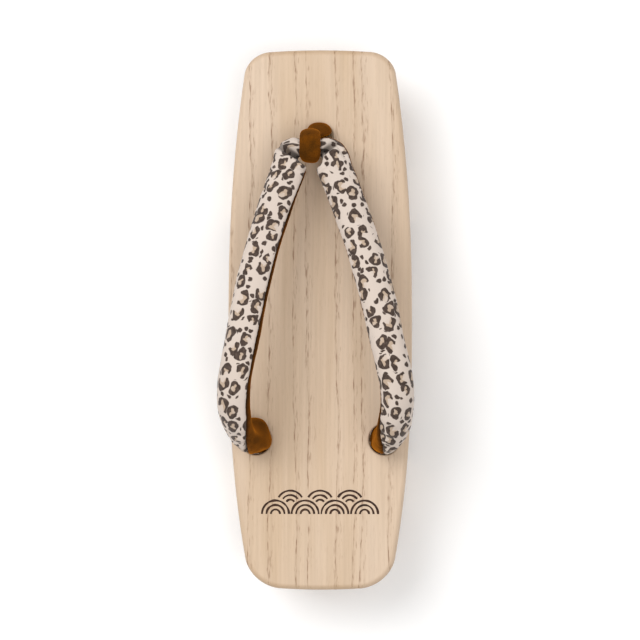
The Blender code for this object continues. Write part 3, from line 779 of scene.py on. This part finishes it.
def hole_cutters():
    """The mesh of each hole: its eased upper rim, its wall, then its lower end."""
    top = HEIGHT + MARGIN
    ceiling = recess_ceiling()
    recess = [(FRONT_HOLE_RADIUS, ceiling), (RECESS_RADIUS, ceiling), (RECESS_RADIUS, -MARGIN), (0, -MARGIN)]
    plain = [(REAR_HOLE_RADIUS, UNDERSIDE + HOLE_EASING), (REAR_HOLE_RADIUS + HOLE_EASING, UNDERSIDE)]
    plain += [(REAR_HOLE_RADIUS + HOLE_EASING, -MARGIN), (0, -MARGIN)]
    for x, y, radius, lower in (
        (0, FRONT_HOLE_Y, FRONT_HOLE_RADIUS, recess),
        (-REAR_HOLE_OUT, REAR_HOLE_Y, REAR_HOLE_RADIUS, plain),
        (REAR_HOLE_OUT, REAR_HOLE_Y, REAR_HOLE_RADIUS, plain),
    ):
        upper = [(0, top), (radius + HOLE_EASING, top)] + eased_rim(radius, HEIGHT, -1)
        yield turned(upper + lower, (x, y, 0))


def wave_lines():
    """The burned waves: for each visible stretch of an arc, its points and its centre, seen from above."""
    front = [((i - (WAVES - 1) / 2) * WAVE_SPACING, WAVE_BASE) for i in range(WAVES)]
    behind = [((i - (WAVES - 2) / 2) * WAVE_SPACING, WAVE_BASE + WAVE_STEP) for i in range(WAVES - 1)]
    for row, covering in ((front, []), (behind, front)):
        for centre in row:
            for ring in range(1, WAVE_RINGS + 1):
                radius = WAVE_RADIUS * ring / WAVE_RINGS
                stretch = []
                for degrees in range(0, 181, 5):
                    angle = radians(degrees)
                    place = (centre[0] + radius * cos(angle), centre[1] + radius * sin(angle))
                    nearest = min(((Vector(place) - Vector(other)).length for other in covering), default=1.0)
                    hidden = nearest < WAVE_RADIUS + 1.2 * WAVE_LINE
                    if not hidden:
                        stretch.append(place)
                    if (hidden or degrees == 180) and stretch:
                        if len(stretch) > 2:
                            yield stretch, centre
                        stretch = []


def wave_cutter():
    """Bars that cut the burned waves into the board's top."""
    bm = bmesh.new()
    for stretch, centre in wave_lines():
        rings = []
        for x, y in stretch:
            here = Vector((x, y, HEIGHT))
            pressed = 1 + WAVE_UNEVEN * noise.noise(here / WAVE_UNEVEN_OVER)
            out = Vector((x - centre[0], y - centre[1], 0)).normalized() * pressed * WAVE_LINE / 2
            sides = ((-1.25, 1), (-0.55, -1), (0.55, -1), (1.25, 1))
            rings.append([here + out * share + Vector((0, 0, WAVE_DEPTH * way)) for share, way in sides])
        sweep(bm, rings)
    bmesh.ops.recalc_face_normals(bm, faces=bm.faces)
    return bm


def carve(obj, cutters):
    """Applies Booleans of (operation, mesh, material) to the piece, one after the other."""
    helpers = []
    for i, (operation, bm, material) in enumerate(cutters):
        helper = add_piece(f"cutter_{i}", bm, [material] if material else list(obj.data.materials))
        modifier = obj.modifiers.new(f"Cut {i}", "BOOLEAN")
        modifier.operation = operation
        modifier.solver = "EXACT"
        modifier.object = helper
        modifier.material_mode = "TRANSFER"
        helpers.append(helper)
    mesh = bpy.data.meshes.new_from_object(obj.evaluated_get(bpy.context.evaluated_depsgraph_get()))
    obj.modifiers.clear()
    obj.data = mesh
    for helper in helpers:
        bpy.data.objects.remove(helper, do_unlink=True)


def slope(before, after):
    """The slope of a smooth curve between two straight stretches, with no overshoot."""
    return 2 * before * after / (before + after) if before * after > 0 else 0


def smooth_rows(rows, steps):
    """Rows read from a smooth curve through the given ones, which start with x, y and z."""
    spans = [(Vector(there[:3]) - Vector(here[:3])).length for here, there in zip(rows, rows[1:])]
    secants = [
        [(b - a) / span for a, b in zip(here, there)] for here, there, span in zip(rows, rows[1:], spans)
    ]
    slopes = [secants[0]]
    slopes += [[slope(b, a) for b, a in zip(before, after)] for before, after in zip(secants, secants[1:])]
    slopes.append(secants[-1])
    made = []
    for i, span in enumerate(spans):
        for step in range(steps):
            t = step / steps
            ease = 3 * t**2 - 2 * t**3
            weights = (1 - ease, (t**3 - 2 * t**2 + t) * span, ease, (t**3 - t**2) * span)
            columns = zip(rows[i], slopes[i], rows[i + 1], slopes[i + 1])
            made.append(tuple(sum(w * v for w, v in zip(weights, column)) for column in columns))
    made.append(tuple(rows[-1]))
    return made


def evenly_spaced(rows, spacing):
    """The rows read again at even distances along their way, each with its distance as the last number."""
    travelled = [0.0]
    for here, there in zip(rows, rows[1:]):
        travelled.append(travelled[-1] + (Vector(there[:3]) - Vector(here[:3])).length)
    count = round(travelled[-1] / spacing)
    made, i = [], 0
    for step in range(count + 1):
        at = travelled[-1] * step / count
        while i < len(rows) - 2 and travelled[i + 1] < at:
            i += 1
        share = (at - travelled[i]) / (travelled[i + 1] - travelled[i])
        made.append(tuple(a + (b - a) * share for a, b in zip(rows[i], rows[i + 1])) + (at,))
    return made


def softened(rows, passes):
    """Each row averaged with its neighbours, to even out the curve; the ends stay."""
    for _ in range(passes):
        inner = [
            tuple((a + 2 * b + c) / 4 for a, b, c in zip(*three)) for three in zip(rows, rows[1:], rows[2:])
        ]
        rows = [rows[0]] + inner + [rows[-1]]
    return rows


def arm_rows(side):
    """One arm's sections, from the loop's side to the end in its hole: place, size, turns and roundness."""
    reach = (STRAP_REACH_RIGHT if side > 0 else STRAP_REACH_LEFT) * side
    arm = []
    for row in ARM:
        sideways = APEX.x + row["out"] * (reach - APEX.x)
        x = sideways + row["home"] * (side * REAR_HOLE_OUT - sideways)
        y = FRONT_HOLE_Y + row["back"] * (REAR_HOLE_Y - FRONT_HOLE_Y)
        z = HEIGHT + row["rise"] * STRAP_RISE
        width, thickness = row["wide"] * STRAP_WIDTH, row["thick"] * STRAP_THICKNESS
        arm.append((x, y, z, width, thickness, row["swing"], row["roll"], LINING_ROUNDNESS))
    first = arm[0]
    beside = APEX.x + side * (LOOP_WIDTH / 2 + CLEARANCE)
    bend = []
    for row in BEND:
        x = beside + row["over"] * (first[0] - beside)
        y = APEX.y + row["back"] * (first[1] - APEX.y)
        z = APEX.z + row["rise"] * (first[2] - APEX.z)
        width = APEX_WIDTH + row["wide"] * (first[3] - APEX_WIDTH)
        thickness = APEX_THICKNESS + row["wide"] * (first[4] - APEX_THICKNESS)
        roundness = ROUNDNESS + row["wide"] * (LINING_ROUNDNESS - ROUNDNESS)
        bend.append((x, y, z, width, thickness, row["swing"], row["wide"] * first[6], roundness))
    mouth = 2 * (REAR_HOLE_RADIUS - CLEARANCE)
    for row in MOUTH:
        place = (side * REAR_HOLE_OUT, REAR_HOLE_Y, HEIGHT - STRAP_DEPTH * row["sink"])
        width, thickness = mouth * row["wide"], mouth * row["thick"]
        arm.append((*place, width, thickness, row["swing"], row["roll"], ROUNDNESS))
    return bend + arm


def read_table(table, key, at, column):
    """A column of the table, read in a straight line between the two rows round a place."""
    for here, there in zip(table, table[1:]):
        if at <= there[key]:
            share = max(at - here[key], 0) / (there[key] - here[key])
            return here[column] + (there[column] - here[column]) * share
    return table[-1][column]


def section_point(angle, width, thickness, lower_power):
    """A point of a section as (across, up): a domed upper half over a flatter lower half."""
    power = ROUNDNESS if sin(angle) >= 0 else lower_power
    x = width / 2 * (1 if cos(angle) > 0 else -1) * abs(cos(angle)) ** (2 / power)
    depth = CROWN_SHARE if sin(angle) >= 0 else CROWN_SHARE - 1
    return x, thickness * (depth * abs(sin(angle)) ** (2 / power) + 0.5 - CROWN_SHARE)


def section_angles(inner, outer):
    """Angles round a section: over the cotton from the outer to the inner seam, then under the lining."""
    start, end = radians(outer), pi - radians(inner)
    angles = []
    for steps, first, last in ((COTTON_STEPS, start, end), (LINING_STEPS, end, start + 2 * pi)):
        for step in range(steps):
            share = step / steps
            share = 0.7 * share + 0.15 * (1 - cos(pi * share))
            angles.append(first + (last - first) * share)
    return angles


def bell(distance, width):
    """A soft bump: 1 at no distance, a third at its width, and next to nothing from twice that."""
    return exp(-((distance / width) ** 2))


def to_segment(x, y, fold):
    """From a fold's line to a place, seen from above in millimetres: how far along it the nearest point is,
    the distance from there, and whether the place lies on the loop's side."""
    run = Vector((fold["to_x"] - fold["x"], fold["to_y"] - fold["y"]))
    way = Vector((x - fold["x"], y - fold["y"]))
    share = min(max(way.dot(run) / run.dot(run), 0.0), 1.0)
    return share, (way - run * share).length, run.cross(way) * fold["side"] > 0


def strap_relief(side, along, across, to_seam, lining, x, y):
    """How far the padded cloth stands out or in at a place of one arm, in metres; all else in millimetres."""
    relief = PUFF * bell(to_seam - PUFF_FROM_SEAM, PUFF_BREADTH) - SEAM_DEPTH * bell(to_seam, SEAM_BREADTH)
    pull = sin(2 * pi * along / STITCH_SPACING + 1.7 * sin(along / 7.3) + side)
    relief += STITCH_PULL * pull * exp(-to_seam / STITCH_REACH)
    place = Vector((along / LUMPS_ALONG, across / LUMPS_ACROSS, 7.0 * side + (3.0 if lining else 0.0)))
    relief += LUMP * noise.noise(place) + SMALL_LUMP * noise.noise(place * 3.1)
    if along < FOLDS_END:
        for fold in FOLDS:
            if fold["side"] == side and (not lining or fold["deep"] < 0):
                share, off, _ = to_segment(x, y, fold)
                deep, broad = fold["deep"], fold["broad"]
                if deep > 0:
                    # It runs out at its far end and at a seam, and the cloth stands up beside it
                    deep *= (1 - 0.8 * share**3) * min(0.2 + to_seam / 3.0, 1.0)
                    relief += 0.3 * deep * bell(off - 2.4 * broad, 1.6 * broad)
                relief -= deep * bell(off, broad)
    if not lining:
        for crease in CREASES:
            if crease["side"] != side:
                continue
            broad = crease["broad"]
            off = along - crease["along"] - crease["lean"] * across
            if abs(off) > 6 * broad:
                continue
            from_end = min(across - crease["first"], crease["last"] - across) / 3.0
            deep = crease["deep"] * min(max(from_end + 0.5, 0.0), 1.0)
            relief -= deep * bell(off, broad)
            relief += 0.35 * deep * bell(abs(off) - 2.2 * broad, 1.2 * broad)
    return relief * MM


def shaded(side, x, y, to_seam):
    """How little light reaches a place of the strap: 1 in a seam or in a deep fold, 0 elsewhere. A fold's wall on
    the loop's side lies under the arm's cloth, and is dark all over."""
    dark = bell(to_seam, SEAM_SHADOW)
    for fold in FOLDS:
        if fold["side"] == side and fold["deep"] > 2:
            share, off, beside_loop = to_segment(x, y, fold)
            reach = WALL_SHADOW if beside_loop else fold["broad"]
            dark = max(dark, min(1.5 * bell(off, reach), 1.0) * (1 - 0.35 * share**2))
    return dark


def strap_mesh():
    """The strap's skin, with the cloth's own coordinates and which faces are lining."""
    bm = bmesh.new()
    cloth = bm.verts.layers.float_vector.new("cloth")
    shadow = bm.verts.layers.float.new("shadow")
    around = COTTON_STEPS + LINING_STEPS
    apex = (APEX.x, APEX.y, APEX.z, APEX_WIDTH, APEX_THICKNESS, 90, 0, ROUNDNESS)
    arms = []
    for side in (-1, 1):
        rows = evenly_spaced(smooth_rows([apex, *arm_rows(side)], 10), STRAP_SPACING)
        rows = softened(rows, 12)
        # The cloth's coordinates run straight on over the turn out of the loop, as the cloth itself does
        straight = [Vector(row[:3]) for row in rows if STRAIGHT_FROM <= row[-1] <= STRAIGHT_FROM + 4 * MM]
        lengthwise = (straight[-1] - straight[0]).normalized()
        arm = []
        table, hole = SEAMS[side], AT_HOLE[side]
        over_rim = Vector((-RIM_INWARDS * side, RIM_TO_TOE, 0.0))
        for i, (x, y, z, width, thickness, swing, roll, roundness, along) in enumerate(rows):
            in_mouth = bell(z - HEIGHT, LEAN_UP if z > HEIGHT else LEAN_DOWN)
            x += side * hole["out"] * in_mouth
            y += hole["ahead"] * in_mouth
            width *= 1 - hole["thin"] * in_mouth
            thickness *= 1 - hole["thin"] * in_mouth
            before = Vector(rows[max(i - 1, 0)][:3])
            after = Vector(rows[min(i + 1, len(rows) - 1)][:3])
            travel = (after - before).normalized() if i else Vector((side, 0, 0))
            level = Vector((side * cos(radians(swing)), sin(radians(swing)), 0))
            face = (travel.cross(level) * side).normalized()
            outward = level * cos(radians(roll)) - face * sin(radians(roll))
            face = face * cos(radians(roll)) + level * sin(radians(roll))
            inner = read_table(table, "along", along / MM, "inner")
            outer = read_table(table, "along", along / MM, "outer")
            flat = [Vector(section_point(a, width, thickness, roundness)) for a in section_angles(inner, outer)]
            lengths = [0.0]
            for here, there in zip(flat, flat[1:] + flat[:1]):
                lengths.append(lengths[-1] + (there - here).length)
            cotton, whole = lengths[COTTON_STEPS], lengths[-1]
            squeeze = min(max(along - LOOP_WIDTH / 2, 0.0) / FREE_OF_LOOP, 1.0)
            above_hole = min(max((z - HEIGHT) / FREE_OF_HOLE, 0.0), 1.0)
            over_swell = z - HEIGHT - SWELL_AT
            swell = hole["swell"] * bell(over_swell, SWELL_UP if over_swell > 0 else SWELL_DOWN)
            swell -= hole["hollow"] * bell(z - HEIGHT - HOLLOW_AT, HOLLOW_REACH)
            ring = []
            for j, point in enumerate(flat):
                normal = flat[j - 1] - flat[(j + 1) % around]
                normal = Vector((-normal.y, normal.x)).normalized()
                across = cotton / 2 - lengths[j]
                lining = j > COTTON_STEPS
                nearest = min(lengths[j], abs(lengths[j] - cotton), whole - lengths[j])
                place = Vector((x, y, z)) + outward * point.x + face * point.y
                relief = strap_relief(
                    side, along / MM, across / MM, nearest / MM, lining, place.x / MM, place.y / MM
                )
                if relief > 0:
                    relief *= above_hole
                if lining and z > HEIGHT:
                    faces_rim = max((outward * normal.x + face * normal.y).dot(over_rim), 0.0)
                    relief += swell * min(nearest / SWELL_FROM_SEAM, 1.0) * faces_rim * above_hole**0.5
                point = point + normal * relief * squeeze
                vert = bm.verts.new(Vector((x, y, z)) + outward * point.x + face * point.y)
                before_turn = STRAIGHT_FROM + (vert.co - straight[0]).dot(lengthwise)
                blend = min(max((along - STRAIGHT_FROM + TURN_BLEND) / TURN_BLEND, 0.0), 1.0)
                vert[cloth] = (side * (PRINT_AT_APEX + before_turn * (1 - blend) + along * blend), across, 0)
                vert[shadow] = shaded(side, place.x / MM, place.y / MM, nearest / MM)
                ring.append(vert)
            arm.append(ring)
        arms.append(arm)
    left, right = arms
    for vert in left[0]:
        bm.verts.remove(vert)
    rings = left[:0:-1] + right
    for here, there in zip(rings, rings[1:]):
        for i in range(around):
            j = (i + 1) % around
            face = bm.faces.new((here[i], here[j], there[j], there[i]))
            face.material_index = 0 if i < COTTON_STEPS else 1
    for ring in (rings[0], rings[-1]):
        bm.faces.new(ring).material_index = 1
    bmesh.ops.recalc_face_normals(bm, faces=bm.faces)
    return bm


def sweep(bm, rings, closed=False):
    """A skin through rings of equally many points; its ends are closed with flat faces."""
    rows = [[bm.verts.new(point) for point in ring] for ring in rings]
    pairs = list(zip(rows, rows[1:]))
    if closed:
        pairs.append((rows[-1], rows[0]))
    for here, there in pairs:
        for i in range(len(here)):
            j = (i + 1) % len(here)
            bm.faces.new((here[i], here[j], there[j], there[i]))
    if not closed:
        bm.faces.new(rows[0][::-1])
        bm.faces.new(rows[-1])


def loop_rings():
    """Sections of the band: out of the front hole, round the strap's apex from behind and back into the hole."""
    half_y = APEX_WIDTH / 2 + CLEARANCE + LOOP_THICKNESS / 2
    half_z = APEX_THICKNESS / 2 + CLEARANCE + LOOP_THICKNESS / 2
    leg_out = (LOOP_LEG_THICKNESS + LOOP_LEG_GAP) / 2
    rear_mouth = Vector((0, FRONT_HOLE_Y - leg_out, HEIGHT))
    front_mouth = Vector((0, FRONT_HOLE_Y + leg_out, HEIGHT))
    handle = Vector((0, 0, APEX_RISE / 2))

    def round_strap(degrees):
        y, z = cos(radians(degrees)), sin(radians(degrees))
        bulge = (abs(y) ** ROUNDNESS + abs(z) ** ROUNDNESS) ** (-1 / ROUNDNESS)
        return APEX + Vector((0, half_y * y * bulge + LOOP_BULGE * max(y, 0.0) ** 2, half_z * z * bulge))

    over = [round_strap(LOOP_FROM + (LOOP_TO - LOOP_FROM) * step / 60) for step in range(61)]
    first_way, last_way = (over[1] - over[0]).normalized(), (over[-1] - over[-2]).normalized()
    rise = interpolate_bezier(rear_mouth, rear_mouth + handle, over[0] - first_way * LOOP_SLACK, over[0], 27)
    fall = interpolate_bezier(over[-1], over[-1] + last_way * handle.z, front_mouth + handle, front_mouth, 27)
    down = [Vector((0, 0, -LOOP_DEPTH * (1 - step / 10))) for step in range(10)]
    route = [(rear_mouth + step, 0) for step in down]
    grown = [min(step / 18, 1) for step in range(len(rise))]
    route += zip(rise, grown)
    route += [(point, 1) for point in over[1:-1]]
    route += zip(fall, grown[::-1])
    route += [(front_mouth + step, 0) for step in down[::-1]]
    route = [(*point, share) for point, share in route]
    route = softened(route, 3)
    rings = []
    for i, (x, y, z, share) in enumerate(route):
        here = Vector((x, y, z))
        travel = Vector(route[min(i + 1, len(route) - 1)][:3]) - Vector(route[max(i - 1, 0)][:3])
        outward = Vector((1, 0, 0)).cross(travel).normalized()
        across = travel.cross(outward).normalized()
        width = LOOP_LEG_WIDTH + (LOOP_WIDTH - LOOP_LEG_WIDTH) * share
        thickness = LOOP_LEG_THICKNESS + (LOOP_THICKNESS - LOOP_LEG_THICKNESS) * share
        width *= 1 - LOOP_TAPER * share * (1 - max(outward.z, 0.0)) ** 2
        puff = bell(z - HEIGHT - LEG_SWELL_UP, LEG_SWELL_REACH) if z > HEIGHT else 0.0
        width += LEG_SWELL * puff
        here += Vector((-LEG_LEAN * puff, 0, 0))
        ring = []
        for step in range(48):
            angle = 2 * pi * step / 48
            a, b = section_point(angle, width, thickness, BAND_ROUNDNESS)
            if b > 0:
                b += (BAND_BELLY * share + LEG_SWELL * 0.6 * puff) * sin(angle)
            place = here + across * a + outward * b
            if sin(angle) > 0.2 and 0 < i < len(route) - 1 and z > HEIGHT:
                place += outward * BAND_UNEVEN * noise.noise(place / BAND_UNEVEN_OVER)
            ring.append(place)
        rings.append(ring)
    return rings


def smooth_path(points, spacing):
    """Points at even distances along a smooth curve through the given ones."""
    rows = [tuple(point) for point in points]
    fine = []
    for i in range(len(rows) - 1):
        p0, p1 = Vector(rows[max(i - 1, 0)]), Vector(rows[i])
        p2, p3 = Vector(rows[i + 1]), Vector(rows[min(i + 2, len(rows) - 1)])
        for step in range(12):
            t = step / 12
            bend, turn = 2 * p0 - 5 * p1 + 4 * p2 - p3, 3 * p1 - p0 - 3 * p2 + p3
            fine.append(tuple(0.5 * (2 * p1 + (p2 - p0) * t + bend * t**2 + turn * t**3)))
    fine.append(rows[-1])
    return [Vector(row[:3]) for row in evenly_spaced(fine, spacing)]


def cord_rings(points, radius, strands=3, pitch=9 * MM, around=24):
    """Sections of a cord twisted from strands, along evenly spaced points."""
    rings = []
    side = Vector((0.31, 0.2, 1.0))
    travelled = 0.0
    for i, here in enumerate(points):
        travel = (points[min(i + 1, len(points) - 1)] - points[max(i - 1, 0)]).normalized()
        side = (side - travel * side.dot(travel)).normalized()
        other = travel.cross(side)
        travelled += (here - points[i - 1]).length if i else 0.0
        ends = min(i, len(points) - 1 - i)
        full = min(1.0, 0.75 + 0.25 * ends / 2)
        ring = []
        for step in range(around):
            angle = 2 * pi * step / around
            twist = abs(sin(strands / 2 * (angle - 2 * pi * travelled / pitch / strands)))
            size = radius * full * (1 - STRAND_GROOVE + STRAND_GROOVE * twist**0.6)
            ring.append(here + side * cos(angle) * size + other * sin(angle) * size)
        rings.append(ring)
    return rings


def tie_paths(radius):
    """The two cords of the rear tie, each from its hole to its free end."""
    level = UNDERSIDE - CLEARANCE - 2.2 * radius
    top = HEIGHT - STRAP_DEPTH + 0.5 * MM
    for side in (-1, 1):
        points = [
            Vector((side * REAR_HOLE_OUT, REAR_HOLE_Y, top)),
            Vector((side * REAR_HOLE_OUT, REAR_HOLE_Y, UNDERSIDE + 2 * MM)),
            Vector((side * (REAR_HOLE_OUT - 1.5 * MM), REAR_HOLE_Y, UNDERSIDE - 0.2 * MM)),
            Vector((side * (REAR_HOLE_OUT - 6 * MM), REAR_HOLE_Y, UNDERSIDE - CLEARANCE - 1.15 * radius)),
            Vector((side * 18 * MM, REAR_HOLE_Y + side * -0.5 * MM, UNDERSIDE - CLEARANCE - 1.3 * radius)),
        ]
        for row in REEF:
            x, y, z = (row[axis] * radius for axis in "xyz")
            points.append(Vector((-side * x, REAR_HOLE_Y - side * y, level + side * z)))
        yield points


def knot_path(radius):
    """An overhand knot's cord under the front hole, closed on itself with no free ends."""
    seat = recess_ceiling() - 1.5 * CLEARANCE - 2.0 * radius
    points = []
    for step in range(48):
        turn = 2 * pi * step / 48
        x = (sin(turn) + 2 * sin(2 * turn)) * KNOT_SPREAD * radius
        y = (cos(turn) - 2 * cos(2 * turn)) * KNOT_SPREAD * radius
        points.append(Vector((x, FRONT_HOLE_Y + y, seat - sin(3 * turn) * KNOT_RISE * radius)))
    return points


class GETA_OT_board(bpy.types.Operator):
    """Make the board: one block of paulownia with its two teeth and three holes"""

    bl_idname = "geta.board"
    bl_label = "Board"

    def execute(self, context):
        bm = extruded([(x, y, 0) for x, y in board_outline()], (0, 0, HEIGHT))
        round_rim(bm, HEIGHT, TOP_ROUNDING, 8)
        round_rim(bm, 0, FOOT_ROUNDING, 4)
        wood = paulownia(context.scene.geta_wood)
        board = add_piece("board_paulownia", bm, [wood])
        half = BOARD_WIDTH / 2 + MARGIN
        sawn = extruded([(-half, y, z) for y, z in side_profile()], (2 * half, 0, 0))
        cutters = [("INTERSECT", sawn, None)] + [("DIFFERENCE", hole, None) for hole in hole_cutters()]
        cutters.append(("DIFFERENCE", wave_cutter(), burned_wood(context.scene.geta_wood)))
        carve(board, cutters)
        board.data.shade_smooth()
        board.data.set_sharp_from_angle(angle=radians(SHARP_FROM))
        even = board.modifiers.new("Even shading", "WEIGHTED_NORMAL")
        even.keep_sharp = True
        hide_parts("board")
        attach(board, "root")
        return {"FINISHED"}


class GETA_OT_strap(bpy.types.Operator):
    """Make the padded strap: printed cotton over a velvet lining, sewn along both edges"""

    bl_idname = "geta.strap"
    bl_label = "Strap"

    def execute(self, context):
        cotton = printed_cotton(context.scene.geta_strap)
        lining = shared_velvet(context.scene.geta_velvet)
        strap = add_piece("strap_padded", strap_mesh(), [cotton, lining])
        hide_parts("strap")
        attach(strap, "root")
        return {"FINISHED"}


class GETA_OT_front_loop(bpy.types.Operator):
    """Make the velvet loop that holds the strap to the front hole"""

    bl_idname = "geta.front_loop"
    bl_label = "Front loop"

    def execute(self, context):
        pile = shared_velvet(context.scene.geta_velvet)
        bm = bmesh.new()
        sweep(bm, loop_rings())
        bmesh.ops.recalc_face_normals(bm, faces=bm.faces)
        loop = add_piece("front_loop_velvet", bm, [pile])
        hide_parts("front_loop")
        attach(loop, "root")
        return {"FINISHED"}


class GETA_OT_cords(bpy.types.Operator):
    """Make the cords tied under the board: the front knot and the tie between the rear holes"""

    bl_idname = "geta.cords"
    bl_label = "Cords"

    def execute(self, context):
        hemp = twisted_cord(context.scene.geta_cord)
        radius = context.scene.geta_cord.thickness / 2
        bm = bmesh.new()
        knot = knot_path(radius)
        sweep(bm, cord_rings(smooth_path(knot + knot[:1], CORD_SPACING)[:-1], radius), closed=True)
        bmesh.ops.recalc_face_normals(bm, faces=bm.faces)
        front = add_piece("front_knot_cord", bm, [hemp])
        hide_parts("front_knot")
        bm = bmesh.new()
        for points in tie_paths(radius):
            sweep(bm, cord_rings(smooth_path(points, CORD_SPACING), radius))
        bmesh.ops.recalc_face_normals(bm, faces=bm.faces)
        rear = add_piece("rear_tie_cords", bm, [hemp])
        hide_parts("rear_tie")
        for piece in (front, rear):
            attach(piece, "root")
        return {"FINISHED"}


class GETA_OT_stage(bpy.types.Operator):
    """Make the floor, the studio light and the camera over the sandal"""

    bl_idname = "geta.stage"
    bl_label = "Stage"

    def execute(self, context):
        scene = context.scene
        bm = bmesh.new()
        bmesh.ops.create_grid(bm, x_segments=1, y_segments=1, size=FLOOR_REACH)
        paper, _, finish = new_material("Paper backdrop, matt")
        finish({"Base Color": linear("#FFFFFF"), "Roughness": 0.95, "Specular IOR Level": 0.1})
        floor = add_piece("floor", bm, [paper])
        aim = Vector((0, 0, HEIGHT))
        for name, place, size, watts in (
            ("key_softbox", (-0.9, 0.8, 2.0), 1.4, 30),
            ("fill_softbox", (0.5, -0.4, 2.3), 1.4, 20),
        ):
            lamp = bpy.data.lights.new(name, "AREA")
            lamp.size = size
            lamp.energy = watts
            light = bpy.data.objects.new(name, lamp)
            scene.collection.objects.link(light)
            light.location = place
            light.rotation_euler = (aim - light.location).to_track_quat("-Z", "Y").to_euler()
        world = bpy.data.worlds.new("Studio")
        world.use_nodes = True
        sky = world.node_tree
        fill_inputs(sky, sky.nodes["Background"], {"Color": (1, 1, 1, 1), "Strength": 0.45})
        scene.world = world
        scene.view_settings.view_transform = "Standard"
        data = bpy.data.cameras.new("camera")
        data.sensor_width = 36
        data.lens = CAMERA_LENS
        camera = bpy.data.objects.new("camera", data)
        scene.collection.objects.link(camera)
        camera.location = (CAMERA_ASIDE, 0.0, HEIGHT + CAMERA_RISE)
        camera.rotation_euler = (0, atan2(CAMERA_ASIDE, CAMERA_RISE), 0)
        scene.camera = camera
        return {"FINISHED"}


class GETA_PT_panel(bpy.types.Panel):
    """Lists the steps that make the geta, and their settings"""

    bl_label = "Geta"
    bl_idname = "GETA_PT_panel"
    bl_space_type = "VIEW_3D"
    bl_region_type = "UI"
    bl_category = "Geta"

    def draw(self, context):
        for operator in OPERATORS:
            self.layout.operator(operator.bl_idname)
        for group_name in GROUPS:
            group = getattr(context.scene, group_name)
            box = self.layout.box()
            for name in group.__annotations__:
                box.prop(group, name)


OPERATORS = (GETA_OT_board, GETA_OT_strap, GETA_OT_front_loop, GETA_OT_cords, GETA_OT_stage)
GROUPS = {"geta_wood": GetaWood, "geta_strap": GetaStrap, "geta_velvet": GetaVelvet, "geta_cord": GetaCord}


def register():
    """Registers the classes, and gives the scene its groups of settings."""
    for made in (*GROUPS.values(), *OPERATORS, GETA_PT_panel):
        bpy.utils.register_class(made)
    for name, group in GROUPS.items():
        setattr(bpy.types.Scene, name, PointerProperty(type=group))


def unregister():
    """Takes the settings and the classes away again."""
    for name in GROUPS:
        delattr(bpy.types.Scene, name)
    for made in (GETA_PT_panel, *reversed(OPERATORS), *reversed(GROUPS.values())):
        bpy.utils.unregister_class(made)


def main():
    """Makes the sandal and its stage."""
    register()
    for operator in OPERATORS:
        group, name = operator.bl_idname.split(".")
        getattr(getattr(bpy.ops, group), name)()


if __name__ == "__main__":
    main()
